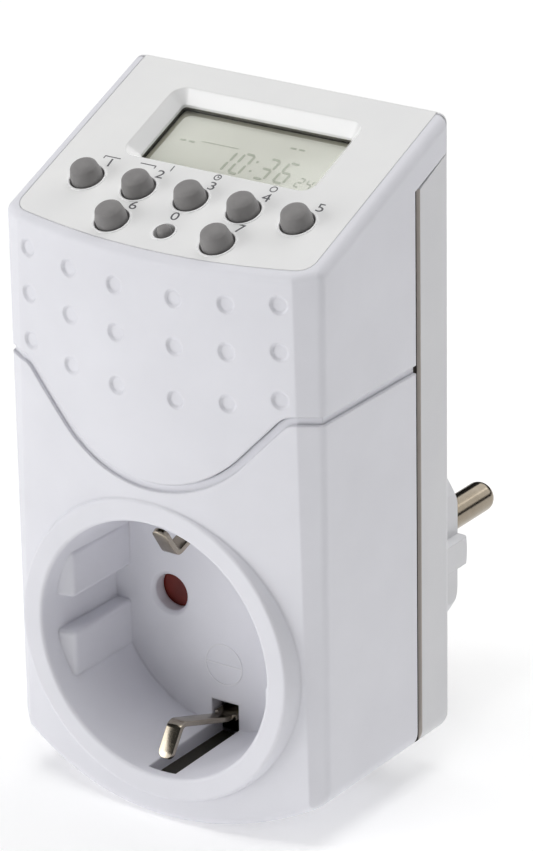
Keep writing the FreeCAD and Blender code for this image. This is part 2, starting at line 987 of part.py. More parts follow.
def rear_housing():
    hollow = inner_body.common(slab(-wall, rear_wall_front))
    shell = outer_body.common(seam_side(seam_groove, seam_top_gap, False)).cut(hollow)
    lip = lip_body.cut(inner_body).common(
        slab(seam_depth - lip_length, seam_depth + seam_groove + wall / 4, -far, lip_top)
    )
    added = [lip, plug_body()]
    added += [rear_boss(across, height) for across, height in boss_places]
    added += [board_shelf(side) for side in (-1, 1)]
    added += [power_post(side) for side in (-1, 1)]
    housing = joined([shell] + added).cut(plug_bore())
    collar = rod(pin_across, 0, collar_radius, lug_depth, plug_floor_depth + plug_face / 2)
    housing = joined([housing, collar, mirrored(collar)])
    root_hole = rod(pin_across, 0, pin_root_radius, lug_depth - wall, plug_face_depth - pin_neck)
    neck_hole = rod(pin_across, 0, pin_neck_radius, lug_depth, plug_face_depth + wall)
    pin_hole = root_hole.fuse(neck_hole)
    side = earth_strip_half_width + earth_slot_clearance
    reach = earth_strip_thickness / 2 + earth_slot_clearance
    strip_slot = block(
        -side,
        side,
        rear_wall_front - wall,
        body_depth + wall,
        earth_strip_reach - reach,
        earth_strip_reach + reach,
    )
    cuts = [pin_hole, mirrored(pin_hole), strip_slot, flipped(strip_slot)]
    cuts += [rear_screw_room(across, height) for across, height in boss_places]
    cuts += [
        rod(
            side_sign * power_screw_across,
            power_screw_level,
            power_screw_radius,
            power_board_depth,
            power_board_depth + power_board_thickness + power_screw_bite,
        )
        for side_sign in (-1, 1)
    ]
    cuts.append(on_panel(plate_lip_bar(plate_gap, wall)))
    return housing.cut(cuts)


# Panel: face plate, display, keys, mat and control board


def rounded_wire(half_across, half_up, radius, middle_up, level):
    """Rounded rectangle in panel axes."""
    edges = []
    share = radius * (1 - math.sqrt(0.5))
    for across_sign, up_sign in ((1, 1), (-1, 1), (-1, -1), (1, -1)):
        across = across_sign * half_across
        up = middle_up + up_sign * half_up
        edges.append(
            arc(
                Vector(across, up - up_sign * radius, level),
                Vector(across - across_sign * share, up - up_sign * share, level),
                Vector(across - across_sign * radius, up, level),
            )
        )
    for sign in (-1, 1):
        across = sign * half_across
        up = middle_up + sign * half_up
        edges.append(
            line(
                Vector(across, middle_up - half_up + radius, level),
                Vector(across, middle_up + half_up - radius, level),
            )
        )
        edges.append(line(Vector(radius - half_across, up, level), Vector(half_across - radius, up, level)))
    return Part.Wire(Part.__sortEdges__(edges))


def panel_block(half_across, low_up, high_up, low, high, radius):
    """Plate with rounded corners in panel axes."""
    wire = rounded_wire(half_across, (high_up - low_up) / 2, radius, (high_up + low_up) / 2, low)
    return Part.Face(wire).extrude(Vector(0, 0, high - low))


def panel_rod(across, up, radius, low, high):
    return Part.makeCylinder(radius, high - low, Vector(across, up, low))


key_places = [(column * key_pitch, key_row) for column in (-2, -1, 0, 1, 2)]
key_places += [(-key_pitch, key_second_row), (key_pitch, key_second_row)]
reset_place = (0.0, key_second_row)
board_boss_places = [
    (side * board_boss_across, up) for side in (-1, 1) for up in (board_boss_low, board_boss_high)
]


def face_plate():
    plate = plate_outline(0, -plate_thickness, 0)
    bosses = [
        panel_rod(across, up, board_boss_radius, -board_level, -plate_thickness)
        for across, up in board_boss_places
    ]
    plate = joined([plate, plate_lip_bar(0, 0)] + bosses)
    outer = rounded_wire(window_half_width, window_half_height, window_corner, window_middle, 0)
    inner_wire = rounded_wire(
        window_half_width - window_bevel,
        window_half_height - window_bevel,
        window_inner_corner,
        window_middle,
        -window_bevel,
    )
    bevel = Part.makeLoft([inner_wire, outer], True, True)
    opening = panel_block(
        window_half_width - window_bevel,
        window_middle - window_half_height + window_bevel,
        window_middle + window_half_height - window_bevel,
        -plate_thickness,
        -window_bevel,
        window_inner_corner,
    )
    cuts = [bevel, opening]
    cuts += [panel_rod(across, up, key_hole_radius, -plate_thickness, 0) for across, up in key_places]
    cuts.append(panel_rod(*reset_place, reset_hole_radius, -plate_thickness, 0))
    cuts += [
        panel_rod(across, up, board_screw_radius, -board_level, board_screw_bite - board_level)
        for across, up in board_boss_places
    ]
    return on_panel(plate.cut(cuts))


pane_half_across = window_half_width - window_bevel + pane_overlap
pane_half_up = window_half_height - window_bevel + pane_overlap
glass_half_across = pane_half_across + glass_overhang
glass_half_up = pane_half_up + glass_overhang
glass_level = -plate_thickness - window_pane
glass_back = glass_level - display_glass


def lcd_window():
    return on_panel(
        panel_block(
            pane_half_across,
            window_middle - pane_half_up,
            window_middle + pane_half_up,
            glass_level,
            -plate_thickness,
            window_inner_corner,
        )
    )


def lcd_glass():
    corner = Vector(-glass_half_across, window_middle - glass_half_up, glass_back)
    return on_panel(Part.makeBox(2 * glass_half_across, 2 * glass_half_up, display_glass, corner))


def connector_room(gap):
    """The two slots, above and below, in which the rubber connectors stand."""
    rooms = []
    half_across = glass_half_across - connector_end + gap
    width = connector_width + 2 * gap
    for sign in (-1, 1):
        middle = window_middle + sign * (glass_half_up - connector_inset - connector_width / 2)
        corner = Vector(-half_across, middle - width / 2, -board_level)
        rooms.append(Part.makeBox(2 * half_across, width, glass_back + board_level, corner))
    return rooms


def lcd_frame():
    """Holder round the display with a white reflector floor behind it."""
    half_across = glass_half_across + holder_gap + holder_wall
    half_up = glass_half_up + holder_gap + holder_wall
    frame = panel_block(
        half_across,
        window_middle - half_up,
        window_middle + half_up,
        -board_level,
        -plate_thickness,
        holder_wall,
    )
    room_across = glass_half_across + holder_gap
    room_up = glass_half_up + holder_gap
    display_room = Part.makeBox(
        2 * room_across,
        2 * room_up,
        far,
        Vector(-room_across, window_middle - room_up, glass_back),
    )
    under_room = Part.makeBox(
        2 * room_across - 2 * holder_wall,
        2 * room_up - 2 * holder_wall,
        far,
        Vector(
            holder_wall - room_across,
            window_middle - room_up + holder_wall,
            glass_back - reflector_thickness - far,
        ),
    )
    return on_panel(frame.cut([display_room, under_room] + connector_room(holder_gap)))


def zebra_strips():
    return Part.Compound([on_panel(strip) for strip in connector_room(0)])


def key_solid(radius, rise, shoulder, top_radius, drop, flange):
    """Domed key with a tapered top, and a flange that stays under the plate."""
    dome = (top_radius**2 + drop**2) / (2 * drop)
    lean = math.asin(top_radius / dome) / 2
    crown = Vector(dome * math.sin(lean), 0, rise - dome + dome * math.cos(lean))
    profile = [
        line(Vector(0, 0, flange_back), Vector(flange, 0, flange_back)),
        line(Vector(flange, 0, flange_back), Vector(flange, 0, flange_level)),
        line(Vector(flange, 0, flange_level), Vector(radius, 0, flange_level)),
        line(Vector(radius, 0, flange_level), Vector(radius, 0, shoulder)),
        line(Vector(radius, 0, shoulder), Vector(top_radius, 0, rise - drop)),
        arc(Vector(top_radius, 0, rise - drop), crown, Vector(0, 0, rise)),
        line(Vector(0, 0, rise), Vector(0, 0, flange_back)),
    ]
    return outline_face(profile).revolve(Vector(0, 0, 0), Vector(0, 0, 1), 360)


def key(across, up):
    solid = key_solid(key_radius, key_rise, key_shoulder, key_top_radius, key_top_drop, key_flange_radius)
    solid.translate(Vector(across, up, 0))
    return on_panel(solid)


def reset_key():
    top = reset_radius * key_top_radius / key_radius
    solid = key_solid(reset_radius, reset_rise, -reset_rise, top, reset_rise / 2, reset_flange_radius)
    solid.translate(Vector(*reset_place, 0))
    return on_panel(solid)


def keypad_mat():
    base = panel_block(mat_half_width, mat_bottom, mat_top, -board_level, mat_level, mat_corner)
    rise = dome_level - mat_level
    domes = [
        Part.makeCone(dome_radius, dome_top_radius, rise, Vector(across, up, mat_level))
        for across, up in key_places + [reset_place]
    ]
    return on_panel(joined([base] + domes))


def control_pcb():
    board = panel_block(
        board_half_width, board_bottom, board_top, board_back, -board_level, board_corner
    )
    holes = [
        panel_rod(across, up, board_screw_hole, board_back, -board_level) for across, up in board_boss_places
    ]
    return on_panel(board.cut(holes))


def board_screws():
    screws = []
    for across, up in board_boss_places:
        shank = panel_rod(across, up, board_screw_radius, board_back, board_screw_bite - board_level)
        head = panel_rod(across, up, board_screw_head_radius, board_back - board_screw_head, board_back)
        screws.append(on_panel(joined([shank, head])))
    return Part.Compound(screws)


def controller_chip():
    """Resin dome over the chip on the back of the control board."""
    dome_curve = (resin_radius**2 + resin_rise**2) / (2 * resin_rise)
    ball = Part.makeSphere(dome_curve, Vector(resin_across, resin_up, board_back + dome_curve - resin_rise))
    room = Part.makeBox(
        2 * resin_radius,
        2 * resin_radius,
        2 * resin_rise,
        Vector(resin_across - resin_radius, resin_up - resin_radius, board_back - 2 * resin_rise),
    )
    return on_panel(ball.common(room))


def clock_crystal():
    """Small metal can lying on the control board."""
    can = Part.makeCylinder(
        crystal_radius,
        crystal_length,
        Vector(crystal_across, crystal_up, board_back - crystal_radius),
        Vector(1, 0, 0),
    )
    rims = [can.Edges[0], can.Edges[2]]
    return on_panel(can.makeFillet(crystal_radius / 4, rims))


def backup_battery():
    top = board_back - cell_foot_thickness
    can = panel_rod(cell_across, cell_up, cell_radius, top - cell_height, top)
    return on_panel(can.makeFillet(cell_tab_thickness, can.Edges))


def battery_tabs():
    """Foot between the cell and the board, and the strap over the cell."""
    low_up = cell_up - cell_tab_width / 2
    foot_level = board_back - cell_foot_thickness
    foot = Part.makeBox(
        2 * cell_radius,
        cell_tab_width,
        cell_foot_thickness,
        Vector(cell_across - cell_radius + cell_tab_gap, low_up, foot_level),
    )
    strap_across = cell_across - cell_radius - cell_tab_gap
    strap_level = foot_level - cell_height - cell_tab_thickness / 2
    strap = bent_sheet(
        [(strap_across, board_back), (strap_across, strap_level), (cell_across, strap_level)],
        cell_tab_thickness,
        cell_tab_thickness * 2,
        lambda across, out: Vector(across, low_up, out),
        Vector(0, cell_tab_width, 0),
    )
    return Part.Compound([on_panel(foot), on_panel(strap)])


# Socket: contacts, earth clips, shutter and their carrier


def contact_carrier():
    """Plate behind the well with a rim, contact nests, shutter pivot and stops."""
    plate = rod(0, 0, carrier_radius, carrier_front, carrier_back)
    rim = rod(0, 0, carrier_radius, well_back, carrier_front).cut(
        rod(0, 0, carrier_radius - carrier_rim, 0, carrier_front)
    )
    ear = block(0, ear_reach, carrier_front, carrier_back, -ear_half_width, ear_half_width)
    ear = ear.fuse(rod(ear_reach, 0, ear_half_width, carrier_front, carrier_back))
    pivot = rod(0, 0, pivot_radius, well_back + pivot_tip_gap, carrier_front)
    nest = contact_nest()
    added = [rim, ear, mirrored(ear), pivot, nest, mirrored(nest)]
    added += [rest_stop(-1), rest_stop(1)] + spring_posts()
    carrier = joined([plate] + added)
    pin_room = rod(pin_across, 0, carrier_hole_radius, 0, carrier_back)
    ear_hole = rod(ear_reach, 0, ear_screw_radius, carrier_front, carrier_back)
    rivet_hole = rod(0, rivet_reach, rivet_radius, carrier_front, carrier_back)
    head_room = rod(0, rivet_reach, rivet_head_radius, carrier_front, carrier_front + rivet_head)
    rivet_room = rivet_hole.fuse(head_room)
    cuts = [pin_room, mirrored(pin_room), ear_hole, mirrored(ear_hole), rivet_room, flipped(rivet_room)]
    return carrier.cut(cuts)


def contact_nest():
    """Three walls round a socket contact, open above for its tail."""
    inner = contact_leaf + contact_sheet / 2 + nest_gap
    floor = -contact_base - contact_sheet / 2 - nest_gap
    left, right = pin_across - nest_half_width, pin_across + nest_half_width
    solid = block(left, right, carrier_front, power_board_depth, floor - nest_wall, nest_top)
    room = block(pin_across - inner, pin_across + inner, carrier_back, power_board_depth, floor, far)
    return solid.cut(room)


def rest_stop(side):
    """Block that the shutter's arm rests on while the holes are covered."""
    near = shutter_disc_radius + stop_gap
    left = side * pin_across - stop_width / 2
    low = near if side > 0 else -near - stop_height
    return block(left, left + stop_width, shutter_front, carrier_front, low, low + stop_height)


def spring_posts():
    """Pair of posts that pinch the fixed end of the shutter's spring."""
    right = -spring_anchor_across + spring_post_width
    posts = []
    for low in (
        spring_anchor_up + spring_sheet / 2,
        spring_anchor_up - spring_sheet / 2 - spring_post_height,
    ):
        posts.append(
            block(
                -spring_anchor_across,
                right,
                shutter_front,
                carrier_front,
                low,
                low + spring_post_height,
            )
        )
    return posts


def shutter():
    """Two-armed rotor that covers both pin holes."""
    disc = rod(pin_across, 0, shutter_disc_radius, shutter_front, shutter_back)
    arm = block(
        -pin_across, pin_across, shutter_front, shutter_back, -shutter_arm_half_width, shutter_arm_half_width
    )
    hub = rod(0, 0, shutter_hub_radius, shutter_front, shutter_back)
    rotor = joined([hub, arm, disc, mirrored(disc)])
    return rotor.cut(rod(0, 0, pivot_radius + pivot_clearance, 0, carrier_back))


def shutter_spring():
    """Leaf spring from its posts to the top of the left arm."""
    middle = (shutter_front + carrier_front - spring_width) / 2
    path = [
        (spring_post_width - spring_anchor_across, spring_anchor_up),
        (-spring_anchor_across - spring_bend, spring_anchor_up),
        (-spring_knee_across, spring_knee_up),
        (-pin_across, shutter_disc_radius + spring_sheet),
    ]
    return bent_sheet(
        path,
        spring_sheet,
        spring_bend,
        lambda across, height: place(across, middle, height),
        Vector(0, spring_width, 0),
    )


def socket_contact():
    """Sprung fork of sheet brass with a long tail up to the power board."""
    front_corner = contact_front
    path = [
        (pin_across - contact_leaf, contact_top),
        (pin_across - contact_pinch, 0),
        (pin_across - contact_leaf, -contact_base),
        (tail_middle, -contact_base),
        (pin_across + contact_pinch, 0),
        (tail_middle, contact_top),
        (tail_middle, tail_top),
    ]
    return bent_sheet(
        path,
        contact_sheet,
        contact_bend,
        lambda across, height: place(across, front_corner, height),
        Vector(0, power_board_depth - front_corner, 0),
    )


def earth_bracket():
    """One bent strip: both sprung clips and the base behind the carrier."""
    lower = [
        (clip_tip_depth, -clip_tip_reach),
        (clip_apex_depth, -clip_apex_reach),
        (clip_foot_depth, -clip_foot_reach),
        (bracket_middle, -clip_base_reach),
    ]
    upper = [(depth, -height) for depth, height in reversed(lower)]
    strip = side_sheet(
        lower + upper, clip_thickness, clip_bend, -clip_base_half_width, clip_base_half_width
    )
    beside = block(clip_half_width, far, -wall, well_depth, -far, far)
    strip = strip.cut([beside, mirrored(beside)])
    tip_edges = [
        edge
        for edge in strip.Edges
        if edge.CenterOfMass.y < clip_tip_depth + clip_thickness - body_depth
        and abs(abs(edge.CenterOfMass.x) - clip_half_width) < far / 1e6
        and edge.Length < 2 * clip_thickness
    ]
    strip = strip.makeFillet(clip_corner, tip_edges)
    hole = rod(0, rivet_reach, rivet_radius, carrier_back, carrier_back + clip_thickness)
    return strip.cut([hole, flipped(hole)])


def plug_earth_strips():
    """Spring strips at the top and bottom of the plug, riveted to the bracket."""
    path = [
        (earth_strip_middle, earth_strip_start),
        (earth_strip_middle, earth_strip_reach),
        (earth_strip_end, earth_strip_reach),
        (earth_tip_depth, earth_tip_reach),
    ]
    strip = side_sheet(
        path, earth_strip_thickness, clip_bend, -earth_strip_half_width, earth_strip_half_width
    )
    hole = rod(0, rivet_reach, rivet_radius, carrier_back, earth_strip_middle + clip_thickness)
    strip = strip.cut(hole)
    return Part.Compound([strip, flipped(strip)])


def earth_rivets():
    back = earth_strip_middle + earth_strip_thickness / 2
    front_head = rod(0, rivet_reach, rivet_head_radius, carrier_front, carrier_front + rivet_head)
    shank = rod(0, rivet_reach, rivet_radius, carrier_front, back)
    back_head = rod(0, rivet_reach, rivet_head_radius, back, back + rivet_head)
    rivet = joined([front_head, shank, back_head])
    return Part.Compound([rivet, flipped(rivet)])


def carrier_screws():
    shank = rod(ear_reach, 0, ear_screw_radius, carrier_front - ear_screw_bite, carrier_back)
    head = rod(ear_reach, 0, ear_screw_head_radius, carrier_back, carrier_back + ear_screw_head)
    screw = joined([shank, head])
    return Part.Compound([screw, mirrored(screw)])


# Plug pins and the strips behind them


def plug_pin():
    """Round pin with a wider root in the plug's face, headed over behind its strip."""
    strip_front = lug_depth - pin_strip_thickness
    tip = plug_face_depth + pin_length
    corner_share = pin_tip_round * math.sqrt(0.5)
    outline = [
        (0, strip_front - pin_head),
        (pin_head_radius, strip_front - pin_head),
        (pin_head_radius, strip_front),
        (shank_radius, strip_front),
        (shank_radius, lug_depth),
        (pin_root_radius, lug_depth),
        (pin_root_radius, plug_face_depth - pin_neck),
        (pin_neck_radius, plug_face_depth - pin_neck),
        (pin_neck_radius, plug_face_depth),
        (pin_radius, plug_face_depth),
        (pin_radius, tip - pin_tip_round),
    ]
    corners = [place(radius, depth, 0) for radius, depth in outline]
    profile = [line(first, second) for first, second in zip(corners, corners[1:])]
    flat = pin_radius - pin_tip_round
    profile.append(
        arc(
            corners[-1],
            place(flat + corner_share, tip - pin_tip_round + corner_share, 0),
            place(flat, tip, 0),
        )
    )
    profile.append(line(place(flat, tip, 0), place(0, tip, 0)))
    profile.append(line(place(0, tip, 0), corners[0]))
    return turned(profile, pin_across)


def pin_lug(shape, outer):
    """A strip with the plate that sits round the pin's shank."""
    lug = block(
        pin_strip_inner,
        outer,
        lug_depth - pin_strip_thickness,
        lug_depth,
        -lug_half_height,
        lug_half_height,
    )
    hole = rod(pin_across, 0, shank_radius, lug_depth - pin_strip_thickness, lug_depth)
    return joined([shape, lug]).cut(hole)


def pin_strip(front_points, outer):
    middle = lug_depth - pin_strip_thickness / 2
    path = [(middle, lug_half_height / 2), (middle, pin_strip_level)] + front_points
    return side_sheet(path, pin_strip_thickness, pin_strip_bend, pin_strip_inner, outer)


def live_strip():
    """From the right plug pin up to the power board."""
    front = power_board_depth - pin_strip_thickness / 2
    strip = pin_strip([(front, pin_strip_level), (front, live_strip_top)], live_strip_outer)
    return pin_lug(strip, pin_across + lug_half_width)


def neutral_strip():
    """From the left plug pin straight to the tail of the left contact."""
    outer = tail_middle - contact_sheet / 2
    strip = pin_strip([(neutral_strip_front, pin_strip_level)], outer)
    return mirrored(pin_lug(strip, pin_across + lug_half_width))


def housing_screws():
    screws = []
    seat = body_depth - screw_recess_depth
    for across, height in boss_places:
        shank = rod(across, height, screw_pilot_radius, boss_joint_depth - screw_bite, seat)
        head = rod(across, height, screw_head_radius, seat, seat + screw_head)
        screws.append(joined([shank, head.makeFillet(screw_head / 4, [head.Edges[0]])]))
    return Part.Compound(screws)


# Power board


def power_pcb():
    board = block(
        -power_board_half_width,
        power_board_half_width,
        power_board_depth,
        power_board_depth + power_board_thickness,
        power_board_bottom,
        power_board_top,
    )
    hole = rod(
        power_screw_across, power_screw_level, power_screw_hole, power_board_depth - wall, rear_wall_front
    )
    return board.cut([hole, mirrored(hole)])


def power_board_screws():
    back = power_board_depth + power_board_thickness + power_screw_bite
    shank = rod(power_screw_across, power_screw_level, power_screw_radius, power_board_depth, back)
    head = rod(
        power_screw_across,
        power_screw_level,
        power_screw_head_radius,
        power_board_depth - power_screw_head,
        power_board_depth,
    )
    screw = joined([shank, head])
    return Part.Compound([screw, mirrored(screw)])


def board_box(across, level, width, height, depth, rounding):
    """Block standing on the front of the power board, its outer edges rounded."""
    solid = block(
        across - width / 2,
        across + width / 2,
        power_board_depth - depth,
        power_board_depth,
        level - height / 2,
        level + height / 2,
    )
    board_plane = place(0, power_board_depth, 0).y
    edges = [edge for edge in solid.Edges if edge.CenterOfMass.y < board_plane - depth / 4]
    return solid.makeFillet(rounding, edges)


def relay():
    case = board_box(0, relay_level, relay_width, relay_height, relay_depth, relay_round)
    step = block(-far, far, power_board_depth - relay_base, power_board_depth, -far, far)
    base = board_box(
        0,
        relay_level,
        relay_width - 2 * relay_base_step,
        relay_height - 2 * relay_base_step,
        relay_base,
        relay_base_step,
    )
    return joined([case.cut(step), base])


def leads(across, level, spacing, length):
    """Two straight leads from the power board's front."""
    front = power_board_depth - length
    levels = (level - spacing / 2, level + spacing / 2)
    return [rod(across, height, lead_radius, front, power_board_depth) for height in levels]


def film_capacitor():
    return board_box(film_across, film_level, film_width, film_height, film_depth, film_round)


def smoothing_capacitor():
    """Round can with its rolled groove, standing on the board."""
    top = power_board_depth - smoothing_length
    neck = power_board_depth - smoothing_groove_place
    inner = smoothing_radius - smoothing_groove
    return turned_points(
        [
            (0, top),
            (inner, top),
            (smoothing_radius, top + smoothing_groove),
            (smoothing_radius, neck - smoothing_groove),
            (inner, neck),
            (smoothing_radius, neck + smoothing_groove),
            (smoothing_radius, power_board_depth),
            (0, power_board_depth),
        ],
        smoothing_across,
        smoothing_level,
    )


def varistor():
    """Coated disc on edge, with two leads."""
    middle = power_board_depth - varistor_stand - varistor_radius
    disc = Part.makeCylinder(
        varistor_radius,
        varistor_thickness,
        place(varistor_across - varistor_thickness / 2, middle, varistor_level),
        Vector(1, 0, 0),
    )
    disc = disc.makeFillet(varistor_thickness / 4, disc.Edges)
    return joined([disc] + leads(varistor_across, varistor_level, varistor_lead_spacing, varistor_radius))


def axial_part(across, level, radius, length):
    """Lying component: a round body and a leg down from each end."""
    middle = power_board_depth - axial_stand - radius
    body = Part.makeCylinder(radius, length, place(across - length / 2, middle, level), Vector(1, 0, 0))
    reach = length / 2 + lead_length
    path = [
        (across - reach, power_board_depth),
        (across - reach, middle),
        (across + reach, middle),
        (across + reach, power_board_depth),
    ]
    lead = bent_sheet(
        path,
        2 * lead_radius,
        2 * lead_radius,
        lambda side, depth: place(side, depth, level - lead_radius),
        Vector(0, 0, 2 * lead_radius),
    )
    return joined([body, lead])


def rectifier_diodes():
    diodes = [axial_part(diode_across, level, diode_radius, diode_length) for level in diode_levels]
    return Part.Compound(diodes)


def dropper_resistor():
    return axial_part(resistor_across, resistor_level, resistor_radius, resistor_length)


def transistor():
    """Half-round body on three legs."""
    back = power_board_depth - transistor_legs
    body = rod(transistor_across, transistor_level, transistor_radius, back - transistor_length, back)
    body = body.common(slab(0, back, transistor_level - transistor_flat, far))
    legs = [
        rod(
            transistor_across + step * transistor_pitch,
            transistor_level,
            lead_radius,
            back - transistor_legs,
            power_board_depth,
        )
        for step in (-1, 0, 1)
    ]
    return joined([body] + legs)


def ribbon_cable():
    """Flat cable from the back of the control board to the power board."""
    start = panel_point(0, ribbon_up, board_back)
    below = panel_point(0, ribbon_up, board_back - ribbon_drop)
    start_depth = start.y + body_depth
    below_depth = below.y + body_depth
    path = [
        (start_depth, start.z),
        (below_depth, below.z),
        (below_depth, ribbon_end),
        (power_board_depth, ribbon_end),
    ]
    return side_sheet(path, ribbon_thickness, ribbon_bend, -ribbon_outer, -ribbon_inner)


def build_parts():
    shell = front_shell()
    contact = socket_contact()
    pin = plug_pin()
    parts = {
        "rear_housing": rear_housing(),
        "upper_front_cover": upper_front_cover(shell),
        "lower_front_cover": lower_front_cover(shell),
        "face_plate": face_plate(),
        "lcd_window": lcd_window(),
        "lcd_glass": lcd_glass(),
        "lcd_frame": lcd_frame(),
        "zebra_strips": zebra_strips(),
        "keypad_mat": keypad_mat(),
        "reset_key": reset_key(),
        "control_pcb": control_pcb(),
        "board_screws": board_screws(),
        "controller_chip": controller_chip(),
        "clock_crystal": clock_crystal(),
        "backup_battery": backup_battery(),
        "battery_tabs": battery_tabs(),
        "ribbon_cable": ribbon_cable(),
        "contact_carrier": contact_carrier(),
        "carrier_screws": carrier_screws(),
        "shutter": shutter(),
        "shutter_spring": shutter_spring(),
        "live_contact": contact,
        "neutral_contact": mirrored(contact),
        "earth_bracket": earth_bracket(),
        "plug_earth_strips": plug_earth_strips(),
        "earth_rivets": earth_rivets(),
        "plug_pin_right": pin,
        "plug_pin_left": mirrored(pin),
        "live_strip": live_strip(),
        "neutral_strip": neutral_strip(),
        "power_pcb": power_pcb(),
        "power_board_screws": power_board_screws(),
        "relay": relay(),
        "film_capacitor": film_capacitor(),
        "smoothing_capacitor": smoothing_capacitor(),
        "varistor": varistor(),
        "rectifier_diodes": rectifier_diodes(),
        "dropper_resistor": dropper_resistor(),
        "transistor": transistor(),
        "housing_screws": housing_screws(),
    }
    for number, (across, up) in enumerate(key_places, start=1):
        parts[f"key_{number}"] = key(across, up)
    return parts


os.makedirs("parts", exist_ok=True)
for name, shape in build_parts().items():
    print(name, len(shape.Solids), round(shape.Volume, 1), shape.isValid())
    shape.exportStep(f"parts/{name}.step")
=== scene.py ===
"""Dresses the plug-in digital timer: its finishes, modelled pieces, printed marks and studio."""

import json
import logging
import math
from dataclasses import dataclass
from enum import Enum
from typing import Sequence

import bpy
from mathutils import Matrix, Vector


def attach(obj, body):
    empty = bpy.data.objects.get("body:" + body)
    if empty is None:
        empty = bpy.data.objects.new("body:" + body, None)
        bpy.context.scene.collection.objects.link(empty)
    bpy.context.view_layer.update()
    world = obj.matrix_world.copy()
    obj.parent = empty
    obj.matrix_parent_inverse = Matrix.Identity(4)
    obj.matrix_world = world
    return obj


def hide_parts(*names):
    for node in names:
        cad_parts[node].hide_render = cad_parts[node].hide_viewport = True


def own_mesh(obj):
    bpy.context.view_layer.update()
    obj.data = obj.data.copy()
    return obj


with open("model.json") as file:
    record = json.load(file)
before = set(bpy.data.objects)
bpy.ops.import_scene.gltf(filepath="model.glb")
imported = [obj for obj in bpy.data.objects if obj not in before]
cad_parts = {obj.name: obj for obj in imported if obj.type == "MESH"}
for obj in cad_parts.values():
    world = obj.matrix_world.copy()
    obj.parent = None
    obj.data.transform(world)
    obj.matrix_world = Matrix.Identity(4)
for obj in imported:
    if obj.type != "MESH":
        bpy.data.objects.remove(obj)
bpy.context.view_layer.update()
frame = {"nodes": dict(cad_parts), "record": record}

LOG = logging.getLogger("timer")
MM = 0.001
TINY = 1e-6
HOUSING = "timer_housing"

Tree = bpy.types.NodeTree
Node = bpy.types.Node
Feed = bpy.types.Node | bpy.types.NodeSocket
Piece = bpy.types.Object
Point = tuple[float, float]
Triple = tuple[float, float, float]
Colour = tuple[float, float, float, float]


# Colours and nodes


def linear(code: str) -> Colour:
    """Turns an sRGB hex colour into the linear one that the nodes take.

    Args:
        code: six hex digits after a hash.

    Returns:
        Linear red, green, blue and an alpha of one.
    """
    values = [int(code[at : at + 2], 16) / 255 for at in (1, 3, 5)]
    red, green, blue = (v / 12.92 if v <= 0.04045 else ((v + 0.055) / 1.055) ** 2.4 for v in values)
    return red, green, blue, 1.0


def add_node(
    tree: Tree, kind: str, settings: dict | None = None, inputs: dict | None = None
) -> Node:
    """Adds one node with its settings, values and links.

    Args:
        tree: node tree that takes the node.
        kind: Blender's name for the type of node.
        settings: the node's own properties.
        inputs: by name or number, each input's value, or the node or output that feeds it.

    Returns:
        The new node.
    """
    node = tree.nodes.new(kind)
    for name, value in (settings or {}).items():
        setattr(node, name, value)
    for name, value in (inputs or {}).items():
        if isinstance(value, bpy.types.Node):
            value = next(output for output in value.outputs if output.enabled)
        if isinstance(value, bpy.types.NodeSocket):
            tree.links.new(value, node.inputs[name])
        else:
            node.inputs[name].default_value = value
    return node


def per_metre(size_mm: float) -> float:
    """Texture scale that gives details of a size in millimetres."""
    return 1 / (size_mm * MM)


# The object's own axes


@dataclass(frozen=True)
class Panel:
    """Axes of the sloped panel: across, up the slope and outwards, in millimetres."""

    depth: float = 6.9
    height: float = 61.8
    slope: float = 22.9
    body_depth: float = 36.7

    def place(self, across: float = 0.0, up: float = 0.0, out: float = 0.0) -> Matrix:
        """Matrix that carries a piece from its own axes to a spot on the panel.

        Args:
            across: distance to the right of the middle.
            up: distance up the slope.
            out: distance outwards from the face.

        Returns:
            The matrix.
        """
        start = Vector((0, self.depth - self.body_depth, self.height)) * MM
        turn = Matrix.Rotation(math.radians(self.slope), 4, "X")
        return Matrix.Translation(start) @ turn @ Matrix.Translation(Vector((across, up, out)) * MM)


PANEL = Panel()


def depth_at(depth: float) -> float:
    """Y in millimetres of a depth behind the front of the socket ring."""
    return depth - PANEL.body_depth


# Finishes

CLOUD_SPAN: Point = (0.3, 0.7)  # a cloudy value gathers round a half, so this part is spread out


class Stretch(Enum):
    """How a pattern is drawn out on the object: not at all, into lines, or into rings."""

    EVEN = (1.0, 1.0, 1.0)
    LINES_ACROSS = (0.04, 1.0, 1.0)
    LINES_INWARDS = (1.0, 0.04, 1.0)
    RINGS = (0.0, 1.0, 0.0)


@dataclass(frozen=True)
class Texture:
    """Cloudy pattern with details of one real size."""

    size_mm: float
    detail: float = 2.0
    roughness: float = 0.5
    stretch: Stretch = Stretch.EVEN


@dataclass(frozen=True)
class Patterns:
    """Values from 0 to 1 that vary the colour, the dullness and the relief of a surface."""

    colour: Feed
    dullness: Feed
    relief: Feed


